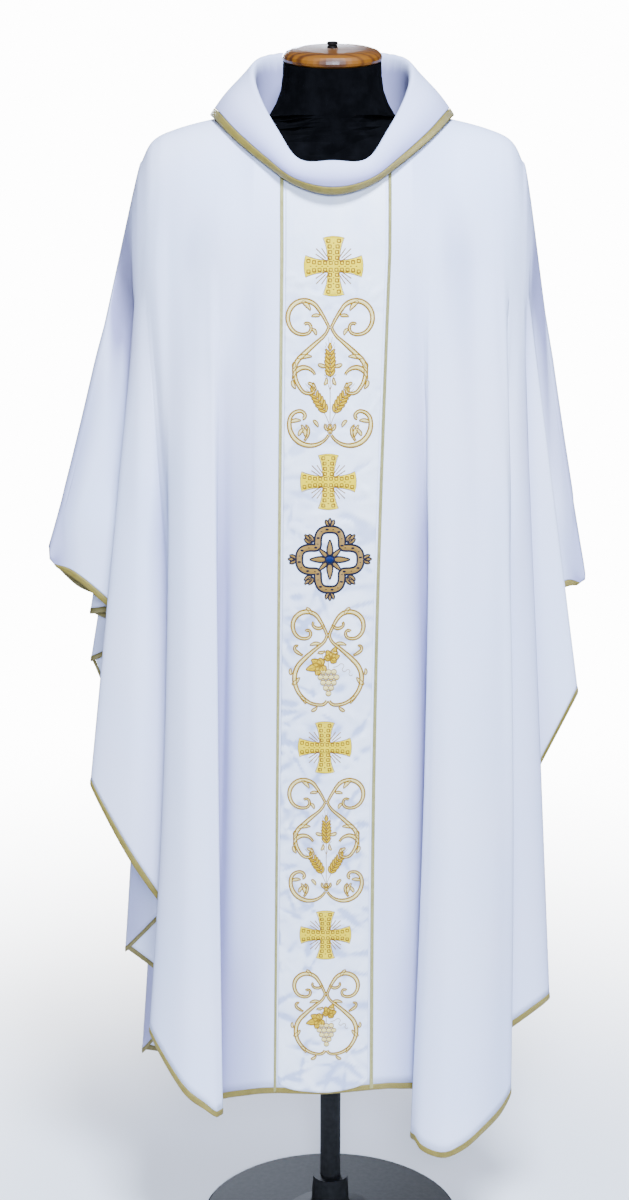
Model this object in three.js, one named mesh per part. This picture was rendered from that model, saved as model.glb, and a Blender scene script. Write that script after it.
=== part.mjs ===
import * as THREE from 'three';

// Chasuble worn by a limbless dress form on a round base. Millimetres, +Z up, front towards -Y.
// The origin is the centre of the base plate's underside, on the floor.

// ---- cloth sizes ----
const CLOTH = 2; // wall of the panels, the collar and the bindings
const GAP = 0.3; // free space between neighbouring pieces
const HEM_BINDING = 8; // width of the gold binding along the hems
const COLLAR_BINDING = 10; // width of the gold binding along the collar's edge
const ORPHREY_WALL = 1; // satin band down the middle of the front
const BRAID_WALL = 1.2; // narrow braid on each side of the satin band

// ---- shoulders and neckline ----
const NECK_SIDE = 96; // neckline's half width
const NECK_DEPTH = { front: 106, back: 98 }; // neckline's reach before and behind the shoulder seam
const NECK_Z = 1516; // height of the neckline at the shoulder seam
const NECK_ARC = 150; // where the shoulder seam starts, along the top edge from the centre
const ROLL_DROP = 165; // height over which the shoulders roll from level to hanging
const ROLL_HALF = 262; // half width of the rolled shoulders
const ROLL_DEPTH = { front: 128, back: 124 }; // reach of the rolled shoulders at the middle
const ROLL_MIN = { depth: 9, drop: 27 }; // softest fold over the ends of the sleeves
const SEAM_SPREAD = 4; // half of a doubled edge's width where it starts
const ARC_ROWS = 5; // rows of the wall over the roll
const HANG_ROWS = 7; // rows of the wall in the hanging part

// ---- shoulder seams, from the neck to the end of the sleeve ----
const SEAM = {
  left: table('x z', [
    [96, 1516],
    [152, 1505.5],
    [195, 1494],
    [222, 1481],
    [236, 1458],
    [247, 1425],
    [298, 1214],
    [345, 1040],
    [370, 956],
  ]),
  right: table('x z', [
    [96, 1516],
    [152, 1505.5],
    [195, 1494],
    [222, 1481],
    [236, 1458],
    [246, 1425],
    [279, 1214],
    [310, 1040],
    [331, 929],
  ]),
};

// ---- folds: start is the distance along the top edge, x y z is where the fold meets the hem, bow bends
// it sideways half way down, turn rounds a doubled edge, and spans is how many strips reach the next ----
const FRONT_FOLDS = table('name start x y z bow turn spans', [
  ['tip_left', -817, -356, -9, 937, 0, 0, 2],
  ['sleeve_face', -640, -322, -20, 916, 0, 0, 2],
  ['sleeve_under', -430, -272, -22, 870, 0, 0, 1],
  ['sleeve_crease', -346, -236, -24, 835, 8, 5, 1],
  ['side_fold', -326, -315, -50, 656, 0, 5, 1],
  ['side_face', -308, -262, -84, 560, 0, 0, 1],
  ['side_crease', -288, -182, -84, 440, 0, 6, 1],
  ['pleat_fold', -266, -238, -108, 333, 16, 6, 1],
  ['pleat_ridge', -238, -191, -150, 262, 4, 0, 2],
  ['pleat_edge', -205, -147, -142, 229, -2, 6, 1],
  ['pleat_valley', -188, -166, -100, 226, 6, 6, 2],
  ['panel_left', -150, -112, -124, 249, 0, 0, 4],
  ['band_left', -60, -70, -144, 262, 0, 0, 2],
  ['centre', 0, -11, -149, 263, 2, 0, 2],
  ['band_right', 70, 47, -144, 266, 6, 0, 3],
  ['panel_right', 124, 90, -125, 259, 4, 0, 2],
  ['fold_valley', 156, 133, -98, 236, -10, 6, 2],
  ['fold_edge', 176, 108, -144, 196, -8, 6, 3],
  ['fold_ridge', 206, 149, -172, 184, 0, 0, 2],
  ['fold_face', 240, 198, -158, 212, -4, 0, 2],
  ['fold_end', 262, 236, -124, 253, -8, 6, 1],
  ['second_crease', 278, 190, -106, 300, 0, 6, 1],
  ['second_face', 292, 250, -90, 338, 0, 0, 1],
  ['second_fold', 306, 290, -66, 363, 0, 5, 1],
  ['third_crease', 322, 236, -54, 600, 0, 5, 1],
  ['third_fold', 338, 321, -38, 777, 0, 5, 1],
  ['sleeve_crease', 358, 262, -24, 880, 0, 5, 1],
  ['sleeve_under', 430, 277, -21, 892, 0, 0, 2],
  ['sleeve_face', 640, 302, -17, 912, 0, 0, 2],
  ['tip_right', 844, 319, -9, 914, 0, 0, 0],
]);

const BACK_FOLDS = table('name start x y z bow turn spans', [
  ['tip_left', -822, -360, 9, 936, 0, 0, 2],
  ['sleeve_face', -640, -334, 24, 905, 0, 0, 2],
  ['sleeve_under', -430, -288, 29, 884, 0, 0, 1],
  ['sleeve_crease', -354, -262, 34, 872, 0, 4, 1],
  ['sleeve_fold', -338, -321, 52, 862, 0, 4, 1],
  ['side_crease', -322, -244, 66, 826, 0, 4, 1],
  ['side_fold', -306, -325, 84, 788, 0, 4, 1],
  ['low_crease', -290, -200, 97, 450, 0, 5, 1],
  ['low_fold', -274, -289, 114, 356, 0, 5, 1],
  ['end_crease', -256, -196, 122, 285, 0, 5, 1],
  ['end_fold', -238, -271, 148, 186, 0, 6, 1],
  ['pleat_ridge', -204, -200, 176, 166, 0, 0, 2],
  ['pleat_edge', -174, -142, 160, 186, 0, 6, 1],
  ['pleat_valley', -154, -128, 116, 205, 0, 6, 3],
  ['back_left', -75, -60, 142, 206, 0, 0, 3],
  ['back_middle', 0, 4, 148, 204, 0, 0, 3],
  ['back_right', 75, 64, 140, 208, 0, 0, 3],
  ['fold_valley', 154, 134, 112, 210, 0, 6, 2],
  ['fold_edge', 174, 130, 160, 190, 0, 6, 2],
  ['fold_ridge', 206, 190, 174, 182, 0, 0, 2],
  ['fold_end', 238, 249, 146, 226, 0, 6, 1],
  ['second_crease', 262, 186, 122, 300, 0, 5, 1],
  ['second_fold', 286, 279, 104, 392, 0, 5, 1],
  ['third_crease', 310, 210, 86, 560, 0, 5, 1],
  ['third_fold', 332, 303, 62, 772, 0, 5, 1],
  ['sleeve_crease', 354, 250, 36, 884, 0, 5, 1],
  ['sleeve_under', 430, 268, 30, 893, 0, 0, 2],
  ['sleeve_face', 640, 296, 22, 908, 0, 0, 2],
  ['tip_right', 844, 319, 9, 914, 0, 0, 0],
]);

// ---- what lies on the front panel, by distance along its top edge ----
const BAND = { left: -60, right: 70, round: 14 }; // satin band and its rounded lower corners
const BRAIDS = table('name from to', [
  ['braid_left', -68, -64],
  ['braid_right', 74, 78],
]);

// ---- collar: angle from the front, radius and height of the roll, radius and height of the edge ----
const COLLAR = table('angle roll rollZ edge edgeZ', [
  [0, 122, 1459, 134, 1420],
  [20, 121, 1460, 133, 1431],
  [37, 111, 1494, 134, 1454],
  [57, 103, 1526, 140, 1482],
  [78, 100, 1553, 148, 1507],
  [98, 100, 1571, 152, 1510],
  [122, 103, 1583, 138, 1486],
  [150, 108, 1589, 120, 1470],
  [180, 110, 1590, 114, 1462],
]);
const COLLAR_STEPS = [0, 2.8, 4.1, 4.7, 5.2, 5.7, 6.3, 7]; // rows, counted in control points
const COLLAR_ROWS = COLLAR_STEPS.length;
const COLLAR_GAP = 0.45;
const COLLAR_COLUMNS = 48;

// ---- dress form ----
const FORM_RINGS = table('z half front back round', [
  [790, 146, 94, 101, 2],
  [798, 156, 101, 110, 2],
  [830, 163, 106, 116, 2],
  [880, 165, 110, 118, 2],
  [960, 155, 104, 108, 2],
  [1050, 140, 98, 98, 2],
  [1130, 144, 102, 102, 2],
  [1210, 158, 110, 108, 2],
  [1290, 172, 112, 110, 2],
  [1350, 182, 107, 108, 2],
  [1400, 193, 99, 101, 2],
  [1440, 204, 87, 90, 2],
  [1465, 207, 78, 80, 2],
  [1480, 207, 72, 73, 2],
  [1488.5, 203, 66, 67, 1.9],
  [1494.3, 188, 64, 65, 1.8],
  [1498.5, 172, 63, 64, 1.7],
  [1503.9, 152, 62, 63, 1.6],
  [1508.8, 120, 62, 62, 1.5],
  [1512.5, 78, 62, 62, 1.8],
  [1526, 70, 61.5, 61.5, 1.9],
  [1542, 64, 61, 61, 2],
  [1560, 61.5, 60.5, 60.5, 2],
  [1577, 61, 60, 60, 2],
]);
const FORM_SIDES = 44;
const FORM_CLEAR = 1.6; // ridge of the form's shoulders below the middle of the cloth
const FORM_EASE = 0.68; // share of the cloth's reach that the form's shoulders fill
const NECK_RADIUS = 62;
const NECK_SLOPE = 0.17; // forward slope of the neck's top
const CAP_PROFILE = [
  [0, 0], [59, 0], [61.5, 2], [62, 5], [61, 8.5], [57.5, 12], [51, 14.3], [42, 15.4], [0, 16],
];
const KNOB_PROFILE = [[0, 0], [6.5, 0], [6.5, 2.5], [5, 3.5], [7, 4.5], [7, 6.5], [5, 7.5], [0, 7.8]];
const BASE_PROFILE = [
  [0, 0], [175, 0], [178, 3], [178, 8], [174, 11], [60, 14], [34, 20], [26, 30], [24, 70], [0, 70],
];
const POLE = { radius: 14, flange: 48, flangeHeight: 10 };

// A short table: one object for each row, keyed by the names of the columns.
function table(columns, rows) {
  const names = columns.split(' ');
  return rows.map((row) => Object.fromEntries(names.map((name, i) => [name, row[i]])));
}

function clamp(value, low, high) {
  return Math.min(Math.max(value, low), high);
}

function ease(t) {
  const u = clamp(t, 0, 1);
  return u * u * (3 - 2 * u);
}

// Catmull-Rom value of one column of a table at a place counted in rows.
function along(rows, key, place) {
  const last = rows.length - 1;
  const i = clamp(Math.floor(place), 0, last - 1);
  const f = place - i;
  const b = rows[i][key];
  const c = rows[i + 1][key];
  const a = i > 0 ? rows[i - 1][key] : 2 * b - c;
  const d = i < last - 1 ? rows[i + 2][key] : 2 * c - b;
  return 0.5 * (2 * b + (c - a) * f + (2 * a - 5 * b + 4 * c - d) * f * f + (3 * b - a - 3 * c + d) * f ** 3);
}

// Smooth value of a table's column between rows set at uneven steps of another column.
function between(rows, key, by, value) {
  const last = rows.length - 1;
  let i = 0;
  while (i < last - 1 && value > rows[i + 1][by]) i += 1;
  const slope = (k) => {
    if (k === 0 || k === last) return 0;
    return (rows[k + 1][key] - rows[k - 1][key]) / (rows[k + 1][by] - rows[k - 1][by]);
  };
  const step = rows[i + 1][by] - rows[i][by];
  const f = clamp((value - rows[i][by]) / step, 0, 1);
  const h = f * f * (3 - 2 * f);
  const rise = slope(i) * step * f * (1 - f) ** 2 - slope(i + 1) * step * f * f * (1 - f);
  return rows[i][key] * (1 - h) + rows[i + 1][key] * h + rise;
}

// Shoulder seams as fine polylines with the length run so far.
function seamLine(rows) {
  const points = [];
  let run = 0;
  for (let k = 0; k <= 320; k += 1) {
    const place = (k / 320) * (rows.length - 1);
    const p = new THREE.Vector3(along(rows, 'x', place), 0, along(rows, 'z', place));
    if (k > 0) run += p.distanceTo(points[k - 1].p);
    points.push({ p, run });
  }
  return points;
}
const SEAM_LINES = { left: seamLine(SEAM.left), right: seamLine(SEAM.right) };

function seamPoint(side, run) {
  const line = SEAM_LINES[side];
  let k = 1;
  while (k < line.length - 1 && line[k].run < run) k += 1;
  const f = clamp((run - line[k - 1].run) / (line[k].run - line[k - 1].run), 0, 1);
  return line[k - 1].p.clone().lerp(line[k].p, f);
}

// Reach of the rolled shoulders before or behind the seam, at a distance from the middle.
function rollDepth(x, face) {
  const q = Math.min(Math.abs(x) / ROLL_HALF, 1);
  return ROLL_MIN.depth + (ROLL_DEPTH[face] - ROLL_MIN.depth) * (1 - q ** 2.3) ** 0.6;
}

// Height of the rolled shoulders at a plan point.
function rollHeight(x, y) {
  const face = y < 0 ? 'front' : 'back';
  let ridge = NECK_Z;
  if (Math.abs(x) > NECK_SIDE) {
    const rows = x < 0 ? SEAM.left : SEAM.right;
    let k = 1;
    while (k < rows.length - 1 && rows[k].x < Math.abs(x)) k += 1;
    const f = (Math.abs(x) - rows[k - 1].x) / (rows[k].x - rows[k - 1].x);
    ridge = rows[k - 1].z + (rows[k].z - rows[k - 1].z) * f;
  }
  const q = Math.min(Math.abs(y) / rollDepth(x, face), 1);
  return ridge - ROLL_DROP * (1 - Math.sqrt(1 - q * q));
}

// Where a panel's top edge lies: the neckline's arc, then the shoulder seam.
function topEdge(start, face) {
  const sign = start < 0 ? -1 : 1;
  const out = face === 'front' ? -1 : 1;
  const run = Math.abs(start);
  if (run < NECK_ARC) {
    const turn = (run / NECK_ARC) * (Math.PI / 2);
    const x = sign * NECK_SIDE * Math.sin(turn);
    const y = NECK_DEPTH[face] * Math.cos(turn);
    const depth = rollDepth(x, face);
    const roll = Math.asin(Math.min(y / depth, 1));
    const point = new THREE.Vector3(x, out * y, NECK_Z - ROLL_DROP * (1 - Math.cos(roll)));
    return { point, roll, depth, drop: ROLL_DROP, seam: false };
  }
  const point = seamPoint(sign < 0 ? 'left' : 'right', run - NECK_ARC);
  point.x *= sign;
  point.y = (out * GAP) / 2;
  const drop = Math.max(ROLL_DROP * ease((point.z - 1320) / 150), ROLL_MIN.drop);
  return { point, roll: 0, depth: rollDepth(point.x, face), drop, seam: true };
}

// One column of a panel's middle surface: over the roll, then down to the hem.
function columnPath(fold, face) {
  const out = face === 'front' ? -1 : 1;
  const top = topEdge(fold.start, face);
  const base = top.seam ? top.point.y : 0;
  const reach = top.point.z - fold.z;
  const drop = Math.min(top.drop, (0.6 * reach) / Math.cos(top.roll));
  const crest = top.point.z + drop * (1 - Math.cos(top.roll));
  const edge = base + out * top.depth;
  const side = top.point.x < 0 ? -1 : 1;
  const hangZ = crest - drop;
  const length = Math.hypot(fold.x - top.point.x, fold.y - edge, fold.z - hangZ);
  const roll = (f) => {
    const a = top.roll + (Math.PI / 2 - top.roll) * f;
    const y = base + out * top.depth * Math.sin(a);
    return new THREE.Vector3(top.point.x, f === 0 ? top.point.y : y, crest - drop * (1 - Math.cos(a)));
  };
  const hang = (f) => new THREE.Vector3(
    top.point.x + (fold.x - top.point.x) * f - side * fold.bow * Math.sin(Math.PI * f),
    edge + (fold.y - edge) * Math.sin((f * Math.PI) / 2),
    hangZ + (fold.z - hangZ) * f,
  );
  return { length, roll, hang };
}

function foldAt(rows, place) {
  const fold = {};
  for (const key of ['start', 'x', 'y', 'z', 'bow']) fold[key] = along(rows, key, place);
  return fold;
}

// Place in the fold table of a distance along the top edge.
function placeOf(rows, start) {
  let low = 0;
  let high = rows.length - 1;
  for (let k = 0; k < 40; k += 1) {
    const middle = (low + high) / 2;
    if (along(rows, 'start', middle) < start) low = middle;
    else high = middle;
  }
  return (low + high) / 2;
}

// Places of a panel's columns in its fold table, with the two extra columns that round a doubled edge.
function columnPlaces(rows, extraStarts) {
  const places = extraStarts.map((start) => ({ place: placeOf(rows, start), side: 0, turn: 0 }));
  rows.forEach((row, i) => {
    places.push({ place: i, side: 0, turn: row.turn });
    for (let k = 1; k < row.spans; k += 1) places.push({ place: i + k / row.spans, side: 0, turn: 0 });
  });
  return places.sort((a, b) => a.place - b.place);
}

// Points of one column: rows over the roll, rows of the hanging cloth, then the binding's two rows.
function columnPoints(path, slant) {
  const binding = Math.min(HEM_BINDING / slant, 0.45 * path.length) / path.length;
  const gap = GAP / slant / path.length;
  const column = [];
  for (let j = 0; j < ARC_ROWS; j += 1) column.push(path.roll((j / ARC_ROWS) ** 1.3));
  for (let j = 0; j <= HANG_ROWS; j += 1) column.push(path.hang((j / HANG_ROWS) * (1 - binding - gap)));
  column.push(path.hang(1 - binding), path.hang(1));
  return column;
}

// Grid of a panel with its binding: columns across, rows from the top edge to the hem.
function panelGrid(rows, face, extraStarts = []) {
  const places = columnPlaces(rows, extraStarts);
  const folds = places.map(({ place }) => foldAt(rows, place));
  const paths = folds.map((fold) => columnPath(fold, face));
  const hems = paths.map((path) => path.hang(1));
  const at = (list, i) => list[clamp(i, 0, list.length - 1)];
  const slants = paths.map((path, i) => {
    const run = at(hems, i + 1).clone().sub(at(hems, i - 1)).normalize();
    const down = path.hang(1).sub(path.hang(0.9)).normalize();
    return places[i].turn ? 1 : clamp(run.cross(down).length(), 0.5, 1);
  });
  const plain = paths.map((path, i) => columnPoints(path, slants[i]));
  const points = [];
  const starts = [];
  const onSeam = [];
  plain.forEach((column, i) => {
    const { turn } = places[i];
    for (const side of turn ? [-1, 0, 1] : [0]) {
      const start = folds[i].start + side * SEAM_SPREAD;
      const own = side === 0 ? column : columnPoints(columnPath({ ...folds[i], start }, face), slants[i]);
      points.push(own.map((p, j) => {
        if (side === 0) return p;
        const down = at(column, j + 1).clone().sub(at(column, j - 1)).normalize();
        const across = at(plain, i + 1)[j].clone().sub(at(plain, i - 1)[j]);
        across.addScaledVector(down, -across.dot(down));
        const back = at(plain, i + 1)[j].clone().add(at(plain, i - 1)[j]).multiplyScalar(0.5).sub(column[j]);
        back.addScaledVector(down, -back.dot(down));
        const sharp = back.length() / (back.length() + 2);
        back.normalize();
        across.addScaledVector(back, -across.dot(back) * sharp).normalize();
        const open = ease((2 * (j - ARC_ROWS)) / HANG_ROWS);
        const reach = Math.min(turn, 0.4 * at(plain, i + side)[j].distanceTo(column[j]));
        return p.clone().lerp(column[j].clone().addScaledVector(across, side * reach), open);
      }));
      starts.push(start);
      onSeam.push(Math.abs(start) >= NECK_ARC);
    }
  });
  const outward = face === 'front' ? -1 : 1;
  const normals = surfaceNormals(points, outward, false);
  normals.forEach((column, i) => {
    if (onSeam[i]) column[0].setY(0).normalize();
  });
  return { points, normals, starts, outward };
}

// Directions in which a grid's points move out, lengthened a little where the cloth turns a corner.
function surfaceNormals(points, outward, closed) {
  const columns = points.length;
  const rows = points[0].length;
  const step = (from, to, down) => {
    const move = to.clone().sub(from);
    return move.addScaledVector(down, -move.dot(down)).normalize();
  };
  return points.map((column, i) => column.map((here, j) => {
    const left = points[closed ? (i + columns - 1) % columns : Math.max(i - 1, 0)][j];
    const right = points[closed ? (i + 1) % columns : Math.min(i + 1, columns - 1)][j];
    const down = column[Math.min(j + 1, rows - 1)].clone().sub(column[Math.max(j - 1, 0)]).normalize();
    const across = step(left, here, down).add(step(here, right, down));
    const miter = left === here || right === here ? 1 : Math.min(2 / Math.max(across.length(), 0.01), 1.35);
    return across.cross(down).multiplyScalar(outward).normalize().multiplyScalar(miter);
  }));
}

// Closed wall between two offsets of a grid: columns from..to across, rows top..bottom down.
function wall(grid, { from, to, top, bottom, offset = 0, thickness = CLOTH, closed = false }) {
  const columns = to - from + 1;
  const rows = bottom - top + 1;
  const positions = [];
  for (const side of [1, -1]) {
    for (let i = from; i <= to; i += 1) {
      for (let j = top; j <= bottom; j += 1) {
        const move = offset + (side * thickness) / 2;
        const p = grid.points[i][j].clone().addScaledVector(grid.normals[i][j], move);
        positions.push(p.x, p.y, p.z);
      }
    }
  }
  const index = [];
  const outer = (i, j) => (i % columns) * rows + j;
  const inner = (i, j) => columns * rows + outer(i, j);
  const quad = (a, b, c, d) => {
    if (grid.outward > 0) index.push(a, b, c, a, c, d);
    else index.push(a, c, b, a, d, c);
  };
  const spans = closed ? columns : columns - 1;
  for (let i = 0; i < spans; i += 1) {
    for (let j = 0; j < rows - 1; j += 1) {
      quad(outer(i, j), outer(i + 1, j), outer(i + 1, j + 1), outer(i, j + 1));
      quad(inner(i, j), inner(i, j + 1), inner(i + 1, j + 1), inner(i + 1, j));
    }
    quad(outer(i, 0), inner(i, 0), inner(i + 1, 0), outer(i + 1, 0));
    quad(outer(i, rows - 1), outer(i + 1, rows - 1), inner(i + 1, rows - 1), inner(i, rows - 1));
  }
  if (!closed) {
    for (let j = 0; j < rows - 1; j += 1) {
      quad(outer(0, j), outer(0, j + 1), inner(0, j + 1), inner(0, j));
      quad(outer(columns - 1, j), inner(columns - 1, j), inner(columns - 1, j + 1), outer(columns - 1, j + 1));
    }
  }
  const geometry = new THREE.BufferGeometry();
  geometry.setAttribute('position', new THREE.Float32BufferAttribute(positions, 3));
  geometry.setIndex(index);
  geometry.computeVertexNormals();
  return geometry;
}

const PANEL_END = ARC_ROWS + HANG_ROWS; // last row of a panel's cloth
const HEM_TOP = PANEL_END + 1; // first row of its binding
const HEM_END = PANEL_END + 2; // the hem itself

const frontGrid = panelGrid(FRONT_FOLDS, 'front', BRAIDS.flatMap((braid) => [braid.from, braid.to]));
const backGrid = panelGrid(BACK_FOLDS, 'back');

function columnOf(grid, start) {
  let best = 0;
  grid.starts.forEach((value, i) => {
    if (Math.abs(value - start) < Math.abs(grid.starts[best] - start)) best = i;
  });
  return best;
}

// Strip that lies on the front panel from under the collar to the hem.
function onFront(from, to, thickness, round) {
  const first = columnOf(frontGrid, from);
  const last = columnOf(frontGrid, to);
  const middle = (from + to) / 2;
  const points = frontGrid.points.map((column) => column.map((p) => p.clone()));
  for (let i = first; i <= last; i += 1) {
    const q = clamp(Math.abs(frontGrid.starts[i] - middle) / ((to - from) / 2), 0, 1);
    const rise = 3 + round * (1 - Math.sqrt(1 - q * q));
    const foot = points[i][HEM_END];
    const up = points[i][HEM_TOP].clone().sub(foot).normalize();
    foot.addScaledVector(up, rise);
    points[i][PANEL_END] = foot;
  }
  const grid = { points, normals: frontGrid.normals, outward: frontGrid.outward };
  const offset = CLOTH / 2 + GAP + thickness / 2;
  return wall(grid, { from: first, to: last, top: 1, bottom: PANEL_END, offset, thickness });
}

// Collar: rises from the neckline, rolls over and falls to its bound edge.
function collarGrid() {
  const angles = Array.from({ length: COLLAR_COLUMNS }, (_, k) => (k * 360) / COLLAR_COLUMNS);
  const points = angles.map((angle) => {
    const a = THREE.MathUtils.degToRad(angle);
    const away = new THREE.Vector3(Math.sin(a), -Math.cos(a), 0);
    const depth = NECK_DEPTH[Math.cos(a) > 0 ? 'front' : 'back'];
    const x = NECK_SIDE * Math.sin(a);
    const y = -depth * Math.cos(a);
    const height = (u, v) => rollHeight(u, v);
    const slopeX = (height(x + 0.5, y) - height(x - 0.5, y));
    const slopeY = (height(x, y + 0.5) - height(x, y - 0.5));
    const normal = new THREE.Vector3(-slopeX, -slopeY, 1).normalize();
    const plan = new THREE.Vector3(x / NECK_SIDE ** 2, y / depth ** 2, 0).normalize();
    const into = plan.clone().setZ(slopeX * plan.x + slopeY * plan.y).normalize();
    const foot = new THREE.Vector3(x, y, height(x, y)).addScaledVector(into, 2.2)
      .addScaledVector(normal, CLOTH / 2 + 1.1);
    const turn = angle > 180 ? 360 - angle : Math.abs(angle);
    const at = (key) => between(COLLAR, key, 'angle', turn);
    const ring = (r, z) => away.clone().multiplyScalar(r).setZ(z);
    const stand = foot.clone().addScaledVector(normal, 3.5);
    const roll = { r: at('roll'), z: at('rollZ') };
    const edge = { r: at('edge'), z: at('edgeZ') };
    const inside = ring(roll.r - 5.5, roll.z - 9);
    return [
      foot,
      stand,
      stand.clone().lerp(inside, 0.5),
      inside,
      ring(roll.r - 1, roll.z + 4),
      ring(roll.r + 6, roll.z - 5),
      ring((roll.r + 6 + edge.r) / 2 + 5, (roll.z - 5 + edge.z) / 2 + 3),
      ring(edge.r, edge.z),
    ];
  });
  const grid = points.map((control) => collarColumn(control));
  return { points: grid, normals: surfaceNormals(grid, 1, true), outward: 1 };
}

// Clamped cubic B-spline of the control points, cut into rows for the wall and for the binding.
function collarColumn(control) {
  const padded = [control[0], control[0], ...control, control.at(-1), control.at(-1)];
  const spans = padded.length - 3;
  const at = (t) => {
    const i = Math.min(Math.floor(t), spans - 1);
    const f = t - i;
    const weights = [
      (1 - f) ** 3 / 6,
      (3 * f ** 3 - 6 * f * f + 4) / 6,
      (-3 * f ** 3 + 3 * f * f + 3 * f + 1) / 6,
      f ** 3 / 6,
    ];
    const p = new THREE.Vector3();
    weights.forEach((w, k) => p.addScaledVector(padded[i + k], w));
    return p;
  };
  const fine = [];
  let run = 0;
  for (let k = 0; k <= 240; k += 1) {
    const p = at((k / 240) * spans);
    if (k > 0) run += p.distanceTo(fine[k - 1].p);
    fine.push({ p, run });
  }
  const atRun = (length) => {
    let k = 1;
    while (k < fine.length - 1 && fine[k].run < length) k += 1;
    const f = clamp((length - fine[k - 1].run) / (fine[k].run - fine[k - 1].run), 0, 1);
    return fine[k - 1].p.clone().lerp(fine[k].p, f);
  };
  const column = COLLAR_STEPS.map((step) => at(step));
  column.push(atRun(run - COLLAR_BINDING - COLLAR_GAP), atRun(run - COLLAR_BINDING), atRun(run));
  return column;
}

// ---- dress form ----
// Reach of the form's shoulders before or behind their ridge, clear of the cloth.
function shoulderReach(x, z, face) {
  const rows = SEAM.right;
  let ridge = NECK_Z;
  for (let k = 1; k < rows.length; k += 1) {
    if (Math.abs(x) < rows[k - 1].x || Math.abs(x) > rows[k].x) continue;
    const f = (Math.abs(x) - rows[k - 1].x) / (rows[k].x - rows[k - 1].x);
    ridge = rows[k - 1].z + (rows[k].z - rows[k - 1].z) * f;
  }
  const q = 1 - Math.max(ridge - FORM_CLEAR - z, 0) / ROLL_DROP;
  const reach = FORM_EASE * rollDepth(x, face) * Math.sqrt(Math.max(1 - q * q, 0));
  return Math.max(reach, Math.sqrt(Math.max(NECK_RADIUS ** 2 - x * x, 0)));
}

function formBody() {
  const positions = [];
  const index = [];
  const last = FORM_RINGS.length - 1;
  FORM_RINGS.forEach((ring) => {
    for (let k = 0; k < FORM_SIDES; k += 1) {
      const a = (k / FORM_SIDES) * Math.PI * 2;
      const power = 2 / ring.round;
      const x = ring.half * Math.sign(Math.cos(a)) * Math.abs(Math.cos(a)) ** power;
      const face = Math.sin(a) < 0 ? 'front' : 'back';
      let reach = ring[face] * Math.abs(Math.sin(a)) ** power;
      if (ring.z > 1450 && ring.z < 1512) reach = Math.min(reach, shoulderReach(x, ring.z, face));
      const y = Math.sign(Math.sin(a)) * reach;
      const slope = NECK_SLOPE * clamp((ring.z - 1536) / (FORM_RINGS[last].z - 1536), 0, 1);
      positions.push(x, y, ring.z + slope * y);
    }
  });
  for (let level = 0; level < last; level += 1) {
    for (let k = 0; k < FORM_SIDES; k += 1) {
      const a = level * FORM_SIDES + k;
      const b = level * FORM_SIDES + ((k + 1) % FORM_SIDES);
      index.push(a, b, b + FORM_SIDES, a, b + FORM_SIDES, a + FORM_SIDES);
    }
  }
  const bottom = positions.length / 3;
  positions.push(0, 0, FORM_RINGS[0].z, 0, 0, FORM_RINGS[last].z);
  for (let k = 0; k < FORM_SIDES; k += 1) {
    const next = (k + 1) % FORM_SIDES;
    index.push(bottom, next, k, bottom + 1, last * FORM_SIDES + k, last * FORM_SIDES + next);
  }
  const geometry = new THREE.BufferGeometry();
  geometry.setAttribute('position', new THREE.Float32BufferAttribute(positions, 3));
  geometry.setIndex(index);
  geometry.computeVertexNormals();
  return geometry;
}

// Turned piece: a profile of [radius, height] spun about the vertical axis.
function turned(profile, segments) {
  const points = profile.map(([radius, height]) => new THREE.Vector2(radius, height));
  return new THREE.LatheGeometry(points, segments).rotateX(Math.PI / 2);
}

// ---- materials ----
const cloth = { color: 0xe4e4ec, roughness: 0.8, metalness: 0 };
const satin = { color: 0xeeeef4, roughness: 0.45, metalness: 0 };
const gold = { color: 0xb4a85c, roughness: 0.5, metalness: 0.25 };
const jersey = { color: 0x0b0b0c, roughness: 0.75, metalness: 0 };
const wood = { color: 0x9a4a18, roughness: 0.25, metalness: 0 };
const metal = { color: 0x2b2a2a, roughness: 0.35, metalness: 0.9 };
const enamel = { color: 0x141414, roughness: 0.4, metalness: 0.3 };

const model = new THREE.Group();

function place(name, geometry, look) {
  const mesh = new THREE.Mesh(geometry, new THREE.MeshStandardMaterial({ ...look, side: THREE.DoubleSide }));
  mesh.name = name;
  model.add(mesh);
  return mesh;
}

// ---- garment ----
const frontEnd = frontGrid.points.length - 1;
const backEnd = backGrid.points.length - 1;
place('front_panel', wall(frontGrid, { from: 0, to: frontEnd, top: 0, bottom: PANEL_END }), cloth);
place('back_panel', wall(backGrid, { from: 0, to: backEnd, top: 0, bottom: PANEL_END }), cloth);
place('hem_trim_front', wall(frontGrid, { from: 0, to: frontEnd, top: HEM_TOP, bottom: HEM_END }), gold);
place('hem_trim_back', wall(backGrid, { from: 0, to: backEnd, top: HEM_TOP, bottom: HEM_END }), gold);

const collar = collarGrid();
const around = { from: 0, to: collar.points.length - 1, closed: true };
place('collar', wall(collar, { ...around, top: 0, bottom: COLLAR_ROWS }), cloth);
place('collar_trim', wall(collar, { ...around, top: COLLAR_ROWS + 1, bottom: COLLAR_ROWS + 2 }), gold);

place('orphrey', onFront(BAND.left, BAND.right, ORPHREY_WALL, BAND.round), satin);
for (const braid of BRAIDS) place(braid.name, onFront(braid.from, braid.to, BRAID_WALL, 0), gold);

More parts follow.
